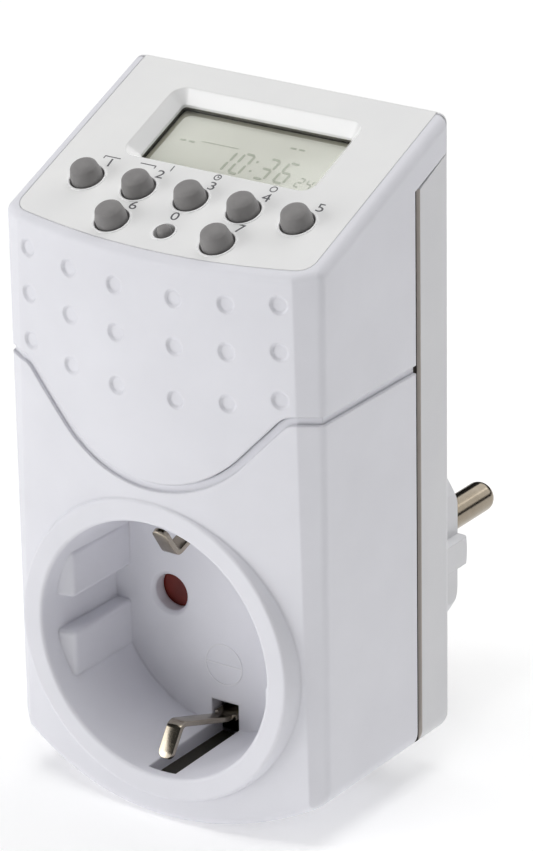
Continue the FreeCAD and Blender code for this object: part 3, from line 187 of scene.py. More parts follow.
@dataclass(frozen=True)
class Finish:
    """What every finish shares: its colours, its dullness and the patterns that vary them.

    The broad pattern mixes the shade into the colour. The fine one, or the broad one
    where there is no other, is the relief. What duller holds is added to the roughness.
    """

    name: str
    colour: str
    shade: str = ""
    roughness: float = 0.5
    duller: Point = (0.0, 0.1)
    refraction: float = 1.5
    broad: Texture = Texture(14.0, 3.0)
    fine: Texture | None = None
    fine_dulls: bool = False
    shade_span: Point = CLOUD_SPAN
    shade_share: float = 1.0
    relief_mm: float = 0.0
    soft_edge_mm: float = 0.0

    def gloss(self) -> dict:
        """The shader's other values, which are the same all over the surface."""
        return {}

    def dull_range(self) -> Point:
        """Least and greatest roughness."""
        return self.roughness + self.duller[0], self.roughness + self.duller[1]

    def patterns(self, tree: Tree, place: Feed) -> Patterns:
        """Draws the broad and the fine pattern.

        Args:
            tree: node tree of the material.
            place: position on the piece, in metres.

        Returns:
            What varies the colour, the dullness and the relief.
        """
        drawn = []
        for texture in filter(None, (self.broad, self.fine)):
            stretch = {"Vector": place, "Scale": texture.stretch.value}
            inputs = {
                "Vector": add_node(tree, "ShaderNodeMapping", inputs=stretch),
                "Scale": per_metre(texture.size_mm),
                "Detail": texture.detail,
                "Roughness": texture.roughness,
            }
            drawn.append(add_node(tree, "ShaderNodeTexNoise", inputs=inputs))
        return Patterns(drawn[0], drawn[-1] if self.fine_dulls else drawn[0], drawn[-1])

    def paint(self, tree: Tree, place: Feed, pattern: Feed) -> Feed | Colour:
        """Colour of the surface, clouded with its shade if it has one.

        Args:
            tree: node tree of the material.
            place: position on the piece.
            pattern: value that mixes the shade in.

        Returns:
            The colour, or what gives it.
        """
        if not self.shade:
            return linear(self.colour)
        low, high = self.shade_span
        span = {"From Min": low, "From Max": high, "To Max": self.shade_share}
        share = add_node(tree, "ShaderNodeMapRange", inputs={"Value": pattern, **span})
        inputs = {0: share, 6: linear(self.colour), 7: linear(self.shade)}
        return add_node(tree, "ShaderNodeMix", {"data_type": "RGBA"}, inputs)

    def dullness(self, tree: Tree, place: Feed, pattern: Feed) -> Feed:
        """Roughness of the surface, varied a little by a pattern.

        Args:
            tree: node tree of the material.
            place: position on the piece.
            pattern: value that varies it.

        Returns:
            What gives the roughness.
        """
        (start, end), (low, high) = CLOUD_SPAN, self.dull_range()
        span = {"From Min": start, "From Max": end, "To Min": low, "To Max": high}
        return add_node(tree, "ShaderNodeMapRange", inputs={"Value": pattern, **span})

    def surface(self, tree: Tree, place: Feed) -> Node:
        """Builds the shader.

        Args:
            tree: node tree of the material.
            place: position on the piece, in metres.

        Returns:
            The shader.
        """
        drawn = self.patterns(tree, place)
        inputs = {
            "Base Color": self.paint(tree, place, drawn.colour),
            "Roughness": self.dullness(tree, place, drawn.dullness),
            "IOR": self.refraction,
            **self.gloss(),
        }
        if self.relief_mm:
            bumps = {"Height": drawn.relief, "Distance": self.relief_mm * MM, "Strength": 1.0}
            if self.soft_edge_mm:
                radius = {"Radius": self.soft_edge_mm * MM}
                bumps["Normal"] = add_node(tree, "ShaderNodeBevel", {"samples": 6}, radius)
            inputs["Normal"] = add_node(tree, "ShaderNodeBump", inputs=bumps)
        return add_node(tree, "ShaderNodeBsdfPrincipled", inputs=inputs)

    def material(self) -> bpy.types.Material:
        """The material of this finish.

        Returns:
            The material, new on the first call and the same one after it.
        """
        made = bpy.data.materials.get(self.name)
        if made is None:
            made = bpy.data.materials.new(self.name)
            made.use_nodes = True
            tree = made.node_tree
            tree.nodes.clear()
            place = add_node(tree, "ShaderNodeTexCoord").outputs["Object"]
            shader = self.surface(tree, place)
            add_node(tree, "ShaderNodeOutputMaterial", inputs={"Surface": shader})
        return made


@dataclass(frozen=True)
class MouldedPlastic(Finish):
    """Injection-moulded plastic with the spark-eroded texture of its mould.

    The texture breaks highlights into a soft even sheen; slow clouds in colour and
    gloss are the flow of the plastic and years of handling. The real grain is finer
    than 0.1 mm, and is drawn coarser so that it shows.
    """

    duller: Point = (-0.05, 0.05)
    fine: Texture | None = Texture(0.45, 3.0, 0.6)
    fine_dulls: bool = True
    relief_mm: float = 0.004


@dataclass(frozen=True)
class SeamedPlastic(MouldedPlastic):
    """Plastic of the rear shell, whose lip shows warm grey inside the seam.

    The groove is darkened with painted shadow, darkest at its bottom beside the front cover.
    """

    lip: str = "#DAD2C9"
    # painted shadow: the dark line at the bottom of the groove, beside the front cover
    shadow: str = "#3A3531"
    lip_back: float = -7.89
    shadow_across: float = 26.02
    seam_top: float = 66.5
    fades: Triple = (0.04, 0.1, -1.0)

    def paint(self, tree: Tree, place: Feed, pattern: Feed) -> Feed | Colour:
        """Colour of the plastic, warmer on the lip, with painted shadow at its front.

        Args:
            tree: node tree of the material.
            place: position on the piece.
            pattern: value that mixes the shade in.

        Returns:
            What gives the colour.
        """
        axes = add_node(tree, "ShaderNodeSeparateXYZ", inputs={"Vector": place}).outputs
        across = add_node(tree, "ShaderNodeMath", {"operation": "ABSOLUTE"}, {0: axes["X"]})
        lip_fade, shadow_fade, top_fade = self.fades
        on_lip, close, beside = (
            add_node(
                tree,
                "ShaderNodeMapRange",
                inputs={"Value": value, "From Min": start * MM, "From Max": end * MM},
            )
            for value, start, end in (
                (axes["Y"], self.lip_back + lip_fade, self.lip_back),
                (across, self.shadow_across + shadow_fade, self.shadow_across),
                (axes["Z"], self.seam_top, self.seam_top + top_fade),
            )
        )
        both = {0: close, 1: beside}
        in_shadow = add_node(tree, "ShaderNodeMath", {"operation": "MULTIPLY"}, both)
        mixed = {0: in_shadow, 6: linear(self.lip), 7: linear(self.shadow)}
        groove = add_node(tree, "ShaderNodeMix", {"data_type": "RGBA"}, mixed)
        inputs = {0: on_lip, 6: super().paint(tree, place, pattern), 7: groove}
        return add_node(tree, "ShaderNodeMix", {"data_type": "RGBA"}, inputs)


@dataclass(frozen=True)
class FramedPlastic(MouldedPlastic):
    """Plastic of the front plate, textured on its face and glossy just below it.

    The slopes round the window and the walls of the key holes left the mould glossy,
    so they catch the light beside the even, duller face; their whiter colour is a painted
    highlight. The plate's outer walls, in the seam round it, carry painted shade.
    """

    # painted highlight: a whiter colour on the slopes round the window and the holes; their lower
    # roughness is real gloss
    slope_painted_highlight: str = "#FFFFFF"
    slope_roughness: float = 0.16
    polish_edge: Point = (-0.05, -0.15)
    # painted shade: a darker colour on the plate's outer walls, in the seam beside the cover
    rim_painted_shade: str = "#77726E"
    rim_painted_shade_across: float = 22.0
    rim_painted_shade_up: Point = (-4.2, 28.5)
    rim_painted_shade_fade: float = 0.3

    def past(self, tree: Tree, place: Feed, axis: int, edge: float, fade: float) -> Node:
        """Share that grows from 0 to 1 past an edge of the panel.

        Args:
            tree: node tree of the material.
            place: position on the piece.
            axis: axis of the panel that the edge is measured along.
            edge: where the share begins, in millimetres.
            fade: distance, with its direction, over which it becomes whole.

        Returns:
            What gives the share.
        """
        along = PANEL.place().to_3x3().col[axis]
        start = PANEL.place().to_translation().dot(along)
        axes = {0: place, 1: tuple(along)}
        inputs = {
            "Value": add_node(tree, "ShaderNodeVectorMath", {"operation": "DOT_PRODUCT"}, axes),
            "From Min": start + edge * MM,
            "From Max": start + (edge + fade) * MM,
        }
        return add_node(tree, "ShaderNodeMapRange", inputs=inputs)

    def below_face(self, tree: Tree, place: Feed) -> Node:
        """Share of the gloss, painted highlight and painted shade at a place, none on the plate's
        face and whole below it.
        """
        return self.past(tree, place, 2, *self.polish_edge)

    def at_rim(self, tree: Tree, place: Feed) -> Node:
        """Share of painted shade at a place, none round the window and keys and whole at the
        plate's rim.

        Args:
            tree: node tree of the material.
            place: position on the piece.

        Returns:
            What gives the share.
        """
        low, high = self.rim_painted_shade_up
        edges = (
            (0, -self.rim_painted_shade_across, -self.rim_painted_shade_fade),
            (0, self.rim_painted_shade_across, self.rim_painted_shade_fade),
            (1, low, -self.rim_painted_shade_fade),
            (1, high, self.rim_painted_shade_fade),
        )
        share = 0.0
        for edge in edges:
            inputs = {0: share, 1: self.past(tree, place, *edge)}
            share = add_node(tree, "ShaderNodeMath", {"operation": "MAXIMUM"}, inputs)
        return share

    def paint(self, tree: Tree, place: Feed, pattern: Feed) -> Feed | Colour:
        """Colour of the plate, with a painted highlight on its glossy slopes and painted shade in
        the seam round it.

        Args:
            tree: node tree of the material.
            place: position on the piece.
            pattern: value that mixes the shade in.

        Returns:
            What gives the colour.
        """
        # painted highlight on the slopes, painted shade on the outer walls
        mixed = {0: self.at_rim(tree, place), 6: linear(self.slope_painted_highlight), 7: linear(self.rim_painted_shade)}
        slopes = add_node(tree, "ShaderNodeMix", {"data_type": "RGBA"}, mixed)
        face = super().paint(tree, place, pattern)
        inputs = {0: self.below_face(tree, place), 6: face, 7: slopes}
        return add_node(tree, "ShaderNodeMix", {"data_type": "RGBA"}, inputs)

    def dullness(self, tree: Tree, place: Feed, pattern: Feed) -> Feed:
        """Roughness of the plate, lower on its glossy slopes.

        Args:
            tree: node tree of the material.
            place: position on the piece.
            pattern: value that varies it.

        Returns:
            What gives the roughness.
        """
        face = super().dullness(tree, place, pattern)
        inputs = {0: self.below_face(tree, place), 2: face, 3: self.slope_roughness}
        return add_node(tree, "ShaderNodeMix", {"data_type": "FLOAT"}, inputs)


@dataclass(frozen=True)
class MouldedRubber(Finish):
    """Pressed silicone rubber: a matt skin with a soft bloom of fine dirt on it."""

    roughness: float = 0.6
    duller: Point = (-0.06, 0.08)
    refraction: float = 1.41
    broad: Texture = Texture(2.4, 4.0, 0.6)
    fine: Texture | None = Texture(0.3)
    relief_mm: float = 0.003

    def gloss(self) -> dict:
        """The bloom's sheen."""
        return {"Sheen Weight": 0.15, "Sheen Roughness": 0.5}


@dataclass(frozen=True)
class DrawnMetal(Finish):
    """Rolled or drawn sheet metal, bare or plated.

    Its fine lines stretch the reflections across them, and duller patches show
    where it has been handled or has begun to tarnish. The real lines are finer than
    0.05 mm, and are drawn coarser so that they show. Here duller holds factors.
    """

    duller: Point = (0.8, 1.35)
    broad: Texture = Texture(3.5, 4.0, 0.6)
    fine: Texture | None = Texture(0.12, 1.0, stretch=Stretch.LINES_INWARDS)
    shade_span: Point = (0.45, 0.75)
    shade_share: float = 0.35
    relief_mm: float = 0.0008

    def gloss(self) -> dict:
        """The shader's value for bare metal."""
        return {"Metallic": 1.0}

    def dull_range(self) -> Point:
        """Least and greatest roughness, which grow with the metal's own."""
        return self.roughness * self.duller[0], self.roughness * self.duller[1]


@dataclass(frozen=True)
class TurnedMetal(DrawnMetal):
    """Metal turned on a lathe, whose tool leaves rings that spread its highlights.

    The real rings are 0.1 mm apart, and are drawn coarser so that they show.
    """

    duller: Point = (0.8, 1.4)
    broad: Texture = Texture(4.0, 4.0, 0.6)
    fine: Texture | None = Texture(0.3, 3.0, 0.7, Stretch.RINGS)
    fine_dulls: bool = True
    shade_span: Point = CLOUD_SPAN
    shade_share: float = 0.5
    relief_mm: float = 0.0012


@dataclass(frozen=True)
class ClearPane(Finish):
    """Clear acrylic pane: nearly unseen but for its gloss and a few faint wipe marks."""

    roughness: float = 0.12
    duller: Point = (0.0, 0.12)
    broad: Texture = Texture(5.0, 3.0)
    gloss_share: Point = (0.03, 0.9)
    glancing: float = 5.0

    def gloss(self) -> dict:
        """Makes the gloss a plain mirror, whose strength the angle sets."""
        return {"Metallic": 1.0}

    def surface(self, tree: Tree, place: Feed) -> Node:
        """Lays the gloss over what is seen through the pane, most at a glancing angle.

        Args:
            tree: node tree of the material.
            place: position on the piece.

        Returns:
            The shader.
        """
        facing = add_node(tree, "ShaderNodeLayerWeight", inputs={"Blend": 0.5}).outputs["Facing"]
        power = {0: facing, 1: self.glancing}
        low, high = self.gloss_share
        span = {
            "Value": add_node(tree, "ShaderNodeMath", {"operation": "POWER"}, power),
            "To Min": low,
            "To Max": high,
        }
        inputs = {
            0: add_node(tree, "ShaderNodeMapRange", inputs=span),
            1: add_node(tree, "ShaderNodeBsdfTransparent", inputs={"Color": linear(self.colour)}),
            2: super().surface(tree, place),
        }
        return add_node(tree, "ShaderNodeMixShader", inputs=inputs)


@dataclass(frozen=True)
class LaminatedGlass(Finish):
    """Display cell: glass under a matt polarising film over a greenish grey reflector."""

    roughness: float = 0.32
    duller: Point = (0.0, 0.08)
    broad: Texture = Texture(9.0, 1.0)

    def gloss(self) -> dict:
        """The clear coat of the film."""
        return {"Coat Weight": 0.3, "Coat Roughness": 0.12}


@dataclass(frozen=True)
class PrintedInk(Finish):
    """Pad-printed ink: thin, slightly uneven in cover, duller than the plate."""

    roughness: float = 0.55
    duller: Point = (0.0, 0.15)
    broad: Texture = Texture(0.35, 3.0)


@dataclass(frozen=True)
class CircuitBoard(Finish):
    """Glass-fibre board under green solder mask, with raised lines of copper track.

    The tracks' edges catch the light, and the weave makes the mask's gloss uneven.
    """

    roughness: float = 0.3
    broad: Texture = Texture(0.25, 1.0)
    shade_span: Point = (0.0, 1.0)
    relief_mm: float = 0.03
    cell_mm: float = 3.81
    track_edge: Point = (0.28, 0.3)

    def patterns(self, tree: Tree, place: Feed) -> Patterns:
        """Draws the tracks over the weave of the fibre.

        Args:
            tree: node tree of the material.
            place: position on the piece.

        Returns:
            The tracks for colour and relief, and the weave for the dullness.
        """
        settings = {"distance": "MANHATTAN", "feature": "F1"}
        scale = {"Vector": place, "Scale": per_metre(self.cell_mm)}
        start, end = self.track_edge
        inputs = {
            "Value": add_node(tree, "ShaderNodeTexVoronoi", settings, scale),
            "From Min": start,
            "From Max": end,
            "To Min": 1.0,
            "To Max": 0.0,
        }
        tracks = add_node(tree, "ShaderNodeMapRange", inputs=inputs)
        return Patterns(tracks, super().patterns(tree, place).dullness, tracks)


@dataclass(frozen=True)
class DippedCoat(Finish):
    """Epoxy or lacquer coat on a component, glossy with the slow waves of its flow."""

    roughness: float = 0.25
    duller: Point = (0.0, 0.12)
    refraction: float = 1.54
    broad: Texture = Texture(1.2, 3.0)
    relief_mm: float = 0.02


@dataclass(frozen=True)
class FlatCable(Finish):
    """Vinyl flat cable, whose parallel wires show as ribs across its width."""

    roughness: float = 0.4
    shade_span: Point = (0.0, 1.0)
    relief_mm: float = 0.15
    wire_mm: float = 1.27
    waves_per_scale: float = 20.0

    def patterns(self, tree: Tree, place: Feed) -> Patterns:
        """Draws a rib over each wire.

        Args:
            tree: node tree of the material.
            place: position on the piece.

        Returns:
            The ribs, for the colour, the dullness and the relief.
        """
        settings = {"wave_type": "BANDS", "bands_direction": "X"}
        inputs = {"Vector": place, "Scale": per_metre(self.wire_mm) / self.waves_per_scale}
        ribs = add_node(tree, "ShaderNodeTexWave", settings, inputs).outputs["Fac"]
        return Patterns(ribs, ribs, ribs)


@dataclass(frozen=True)
class PaintedBoard(Finish):
    """Matt white painted studio floor with the faint stipple of its roller."""

    roughness: float = 0.85
    broad: Texture = Texture(6.0)
    glow: float = 0.0

    def gloss(self) -> dict:
        """Low gloss, and the light that keeps the floor as pale as its backdrop."""
        glow = {"Emission Color": linear(self.colour), "Emission Strength": self.glow}
        return {"Specular IOR Level": 0.1, **glow}


FLOWING = Texture(3.0, 3.0)
CLOSE_GRAIN = Texture(0.3, 3.0, 0.6)
ACROSS_LINES = Texture(0.12, 1.0, stretch=Stretch.LINES_ACROSS)

WHITE_ABS = MouldedPlastic("white_abs_spark_textured", "#EDEDF3", "#E8E8EE", soft_edge_mm=0.5)
REAR_ABS = SeamedPlastic("white_abs_rear_shell_seamed", "#E6E6E8", "#E1E1E4", soft_edge_mm=0.25)
PLATE_ABS = FramedPlastic(
    "pale_grey_abs_fine_textured",
    "#F7F7F6",
    "#F2F2F2",
    roughness=0.45,
    fine=Texture(0.35, 3.0, 0.6),
    soft_edge_mm=0.2,
)
CLEAR_ACRYLIC = ClearPane("clear_acrylic_moulded", "#FDFEFC")
DISPLAY_GLASS = LaminatedGlass("display_glass_laminated", "#F4F1EE", "#EEECE8")
KEY_SILICONE = MouldedRubber("grey_silicone_pressed", "#848282", "#8F8D8C")
MAT_SILICONE = MouldedRubber("mat_silicone_pressed", "#737375", "#7E7E80", fine=Texture(0.5))
CARBON_SILICONE = MouldedRubber("carbon_silicone_layered", "#1E1E20", "#2A2A2C", 0.7)
INK = PrintedInk("dark_grey_ink_pad_printed", "#56565A", "#6C6C70")
SEGMENT_INK = PrintedInk("liquid_crystal_segment_faint", "#C3C5BC", "#CBCCC4")
# painted shade: a dark band round the cell's edge, where the gap under the window's edge lies in
# shadow
EDGE_SHADE_FILM = PrintedInk("dark_window_edge_painted_shade", "#2B251F", "#3A332B")
BORDER_FILM = PrintedInk("brownish_polariser_edge_cut", "#B3AEA2", "#BDB9AE")
GASKET_TAPE = MouldedRubber("brown_grey_gasket_tape_cut", "#5B554C", "#67615A", 0.7)
# painted shade: a thin black film on the gasket's top edge, where the gap round the pane lies in
# shadow
GASKET_SHADE_FILM = MouldedRubber("black_gasket_edge_painted_shade", "#141414", "#1E1D1C", 0.8)
NICKEL = DrawnMetal("nickel_plated_brass_stamped", "#AEA596", "#6F6555", 0.15, fine=ACROSS_LINES)
NICKEL_TURNED = TurnedMetal("nickel_plated_brass_turned", "#9C9283", "#7A6F5F", 0.17)
BRASS = DrawnMetal("brass_sheet_stamped", "#D9BE83", "#A98A4E", 0.3)
SPRING_STEEL = DrawnMetal("spring_steel_rolled", "#BFC1C4", "#8D8F92", 0.28)
ZINC_STEEL = DrawnMetal("zinc_plated_steel_headed", "#C9CACC", "#9A9B9A", 0.35)
BRIGHT_CAN = DrawnMetal("nickel_silver_can_drawn", "#D5D5D3", "#AFAFAB", 0.25)
SHUTTER_PLASTIC = MouldedPlastic(
    "dark_red_nylon_moulded", "#7E2A20", "#6C221A", 0.38, broad=FLOWING, fine=CLOSE_GRAIN
)
MARK_ABS = MouldedPlastic("white_abs_raised_mark", "#F2F2F6", "#EDEDF2")
# painted highlight: the rims' whiter colour stands in for the light they catch; their low roughness
# is real gloss
RIM_ABS = MouldedPlastic("white_abs_rim_painted_highlight", "#FFFFFF", "#FCFCFC", 0.18, relief_mm=0.001)
# painted shade: a dark sheet in the clip slots, where the inside of the housing lies in shadow
SLOT_SHADE_FILM = MouldedPlastic(
    "dark_slot_painted_shade", "#2C291F", "#363226", 0.6, broad=FLOWING, fine=CLOSE_GRAIN
)
CARRIER_NYLON = MouldedPlastic(
    "grey_nylon_moulded", "#D2D0C9", "#C6C4BC", 0.55, broad=Texture(8.0, 3.0)
)
HOLDER_ABS = MouldedPlastic(
    "white_abs_glossy_moulded", "#ECEBE6", "#E4E3DD", 0.3, broad=Texture(6.0, 3.0)
)
SOLDER_MASK = CircuitBoard("fibre_board_solder_masked", "#1F5B33", "#2E7443")
BLOB_RESIN = DippedCoat("black_epoxy_dispensed", "#101010", "#191919", 0.15)
RELAY_CASE = MouldedPlastic(
    "blue_polyester_moulded", "#22375F", "#1D3056", 0.4, broad=Texture(7.0, 3.0)
)
FILM_CASE = DippedCoat("dark_red_epoxy_cast", "#8E3024", "#7E281D", 0.2)
CAN_SLEEVE = DippedCoat("dark_vinyl_shrink_sleeve", "#2A2C36", "#23252E", 0.35, broad=FLOWING)
DISC_COAT = DippedCoat("blue_epoxy_dipped", "#2A5F9C", "#244F86", 0.3)
COMPONENT_BLACK = DippedCoat("black_epoxy_moulded", "#17171A", "#202024", 0.45)
RESISTOR_COAT = DippedCoat("blue_grey_lacquer_dipped", "#5F8CA8", "#557E98", 0.4)
CABLE_VINYL = FlatCable("grey_vinyl_flat_cable", "#8F8F8F", "#AFAFAF")
FLOOR_PAINT = PaintedBoard("white_paint_rolled", "#FBFBFB", glow=0.272)

FINISH_OF_SLOT = {
    "housing": WHITE_ABS,
    "plate": PLATE_ABS,
    "clear": CLEAR_ACRYLIC,
    "display": DISPLAY_GLASS,
    "holder": HOLDER_ABS,
    "conductive_rubber": CARBON_SILICONE,
    "mat_rubber": MAT_SILICONE,
    "key_rubber": KEY_SILICONE,
    "board": SOLDER_MASK,
    "resin": BLOB_RESIN,
    "bright_metal": BRIGHT_CAN,
    "screw_steel": ZINC_STEEL,
    "cable": CABLE_VINYL,
    "carrier": CARRIER_NYLON,
    "shutter_red": SHUTTER_PLASTIC,
    "spring_steel": SPRING_STEEL,
    "contact_brass": BRASS,
    "nickel": NICKEL,
    "relay_case": RELAY_CASE,
    "film_case": FILM_CASE,
    "can": CAN_SLEEVE,
    "varistor_coat": DISC_COAT,
    "component_black": COMPONENT_BLACK,
    "resistor_coat": RESISTOR_COAT,
}

FINISH_OF_SOLID = {
    "rear_housing": REAR_ABS,
    "plug_pin_left": NICKEL_TURNED,
    "plug_pin_right": NICKEL_TURNED,
}


# Modelling

SMOOTH_UNDER = 40.0  # degrees between faces that are shaded as one surface
FLAT_UNDER = 0.5  # degrees between faces that are one flat face
ROUND = 0.99  # corner radius of a round outline, as a share of half its width


def deselect() -> None:
    """Leaves nothing selected, in object mode."""
    if bpy.context.object and bpy.context.object.mode != "OBJECT":
        bpy.ops.object.mode_set(mode="OBJECT")
    bpy.ops.object.select_all(action="DESELECT")


def choose(piece: Piece) -> None:
    """Makes one piece the selected and active one.

    Args:
        piece: the piece.
    """
    deselect()
    piece.select_set(True)
    bpy.context.view_layer.objects.active = piece


def edit(piece: Piece) -> None:
    """Opens a piece in edit mode with all of it selected.

    Args:
        piece: the piece.
    """
    choose(piece)
    bpy.ops.object.mode_set(mode="EDIT")
    bpy.ops.mesh.select_all(action="SELECT")


def leave_edit() -> None:
    """Goes back to object mode."""
    bpy.ops.object.mode_set(mode="OBJECT")


def apply_all(piece: Piece) -> None:
    """Applies every modifier of a piece.

    Args:
        piece: the piece.
    """
    choose(piece)
    for modifier in list(piece.modifiers):
        bpy.ops.object.modifier_apply(modifier=modifier.name)


def settle(piece: Piece, place: Matrix) -> None:
    """Puts a piece in its place and leaves its object at the origin.

    Args:
        piece: piece that is whole.
        place: where it goes, from its own axes.
    """
    choose(piece)
    piece.matrix_world = place @ piece.matrix_world
    bpy.ops.object.transform_apply(location=True, rotation=True, scale=True)


def smooth(piece: Piece, degrees: float) -> None:
    """Shades a piece smooth where its faces meet at less than an angle."""
    choose(piece)
    bpy.ops.object.shade_smooth_by_angle(angle=math.radians(degrees))


def dress(piece: Piece, name: str, finish: Finish, body: str = HOUSING) -> Piece:
    """Names a finished piece, gives it its finish and fixes it to its body.

    Args:
        piece: finished piece.
        name: plain name.
        finish: what it is made of.
        body: body that it moves with.

    Returns:
        The piece.
    """
    piece.name = name
    piece.data.name = name
    piece.data.materials.clear()
    piece.data.materials.append(finish.material())
    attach(piece, body)
    return piece


def copied(piece: Piece) -> Piece:
    """A copy of a piece with a mesh of its own.

    Args:
        piece: piece to copy.

    Returns:
        The copy, in the same place.
    """
    twin = piece.copy()
    twin.data = piece.data.copy()
    bpy.context.collection.objects.link(twin)
    return twin


@dataclass(frozen=True)
class Corner:
    """One corner of a drawn outline, in millimetres, with the radius that rounds it."""

    across: float
    up: float
    round: float = 0.0


def rounded_line(corners: Sequence[Corner], steps: int = 6) -> list[Point]:
    """Points along an open outline with its corners rounded.

    Args:
        corners: corners in order.
        steps: pieces that each rounding is drawn in.

    Returns:
        Points in millimetres.
    """
    points: list[Point] = [(corners[0].across, corners[0].up)]
    for before, corner, after in zip(corners, corners[1:], corners[2:]):
        here = Vector((corner.across, corner.up))
        if not corner.round:
            points.append((here.x, here.y))
            continue
        back = (Vector((before.across, before.up)) - here).normalized()
        ahead = (Vector((after.across, after.up)) - here).normalized()
        half = back.angle(ahead) / 2
        setback = corner.round / math.tan(half)
        centre = here + (back + ahead).normalized() * corner.round / math.sin(half)
        first = here + back * setback - centre
        last = here + ahead * setback - centre
        for step in range(steps + 1):
            share = step / steps
            ray = first.slerp(last, share) if first.angle(last) > TINY else first
            spot = centre + ray.normalized() * corner.round
            points.append((spot.x, spot.y))
    points.append((corners[-1].across, corners[-1].up))
    return points


def drawn_line(points: Sequence[Vector]) -> Piece:
    """Draws a line of edges, by extruding a plane merged to one vertex from point to point.

    Args:
        points: points in millimetres, in order.

    Returns:
        The piece, open in edit mode with the line selected.
    """
    deselect()
    bpy.ops.mesh.primitive_plane_add(size=MM)
    piece = bpy.context.object
    edit(piece)
    bpy.ops.mesh.merge(type="CENTER")
    bpy.ops.transform.translate(value=points[0] * MM)
    for here, there in zip(points, points[1:]):
        bpy.ops.mesh.extrude_region_move(TRANSFORM_OT_translate={"value": (there - here) * MM})
    bpy.ops.mesh.select_all(action="SELECT")
    return piece


def close_up() -> None:
    """Merges the doubled points of the piece in edit mode, turns its faces outwards, leaves it."""
    bpy.ops.mesh.select_all(action="SELECT")
    bpy.ops.mesh.remove_doubles(threshold=TINY)
    bpy.ops.mesh.normals_make_consistent(inside=False)
    leave_edit()


def turned_body(corners: Sequence[Corner], steps: int = 64) -> Piece:
    """Turns an outline about the vertical axis, as on a lathe.

    Args:
        corners: outline from one end of the axis to the other.
        steps: facets round the body.

    Returns:
        The closed body, in object mode.
    """
    piece = drawn_line([Vector((across, 0, up)) for across, up in rounded_line(corners)])
    bpy.ops.mesh.spin(steps=steps, angle=math.tau, center=(0, 0, 0), axis=(0, 0, 1))
    close_up()
    return piece


@dataclass(frozen=True)
class Outline:
    """Oblong with rounded corners, by half its width and height and its corners' radius."""

    half: Point
    corner: float


def rounded_face(outline: Outline, steps: int = 6) -> Piece:
    """Draws a flat oblong face with rounded corners.

    Args:
        outline: its outline, in millimetres.
        steps: pieces that each corner is drawn in.

    Returns:
        The face, in object mode.
    """
    deselect()
    bpy.ops.mesh.primitive_plane_add(size=2 * MM)
    piece = bpy.context.object
    piece.scale = (*outline.half, 1)
    bpy.ops.object.transform_apply(location=False, rotation=False, scale=True)
    edit(piece)
    bpy.ops.mesh.bevel(offset=outline.corner * MM, segments=steps, affect="VERTICES")
    leave_edit()
    return piece


def united(pieces: Sequence[Piece]) -> Piece:
    """Joins pieces into the first one.

    Args:
        pieces: pieces to join.

    Returns:
        The first piece, with the others in it.
    """
    choose(pieces[0])
    for piece in pieces[1:]:
        piece.select_set(True)
    bpy.ops.object.join()
    return pieces[0]


def flat_frame(outer: Outline, inner: Outline) -> Piece:
    """Draws a flat frame, by bridging its outline and the outline of its opening.

    Args:
        outer: its outline, in millimetres.
        inner: its opening.

    Returns:
        The frame, in object mode.
    """
    piece = united([rounded_face(outer), rounded_face(inner)])
    edit(piece)
    bpy.ops.mesh.delete(type="ONLY_FACE")
    bpy.ops.mesh.select_all(action="SELECT")
    bpy.ops.mesh.bridge_edge_loops()
    close_up()
    return piece


def round_ring(radius: float, inner: float) -> Piece:
    """Draws a flat round ring of an outer and an inner radius."""
    outer, opening = (Outline((size, size), size * ROUND) for size in (radius, inner))
    return flat_frame(outer, opening)


def dull_edges(piece: Piece, width: float, segments: int, degrees: float) -> None:
    """Rounds the sharp edges of a piece.

    Args:
        piece: whole piece.
        width: width of the rounding, in millimetres.
        segments: facets across the rounding.
        degrees: faces that meet at more than this angle have a sharp edge.
    """
    dull = piece.modifiers.new("dull", "BEVEL")
    dull.width = width * MM
    dull.segments = segments
    dull.limit_method = "ANGLE"
    dull.angle_limit = math.radians(degrees)
    apply_all(piece)


def thicken(piece: Piece, thickness: float, dulled: float = 0.0) -> Piece:
    """Gives a flat face a thickness below it, and dulls its edges if asked.

    Args:
        piece: flat face looking up.
        thickness: thickness in millimetres.
        dulled: radius of the dulled edges.

    Returns:
        The piece.
    """
    edit(piece)
    bpy.ops.mesh.extrude_region_move(TRANSFORM_OT_translate={"value": (0, 0, -thickness * MM)})
    close_up()
    if dulled:
        dull_edges(piece, dulled, segments=2, degrees=50)
    smooth(piece, SMOOTH_UNDER)
    return piece


def softened(node: str, width: float) -> Piece:
    """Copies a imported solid, merges its loose faces and rounds its sharp edges.

    Args:
        node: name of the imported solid.
        width: width of the rounding, in millimetres.

    Returns:
        The copy, in the solid's own place.
    """
    piece = bpy.data.objects.new(node, frame["nodes"][node].data.copy())
    bpy.context.collection.objects.link(piece)
    edit(piece)
    bpy.ops.mesh.customdata_custom_splitnormals_clear()
    bpy.ops.mesh.remove_doubles(threshold=TINY)
    bpy.ops.mesh.dissolve_limited(angle_limit=math.radians(FLAT_UNDER))
    leave_edit()
    dull_edges(piece, width, segments=3, degrees=35)
    smooth(piece, SMOOTH_UNDER)
    return piece


# Sub-assemblies


@dataclass(frozen=True)
class Mark:
    """Plain mark on a flat face, a bar or a ring, by its middle and half its size."""

    across: float
    up: float
    half: Point
    is_ring: bool = False


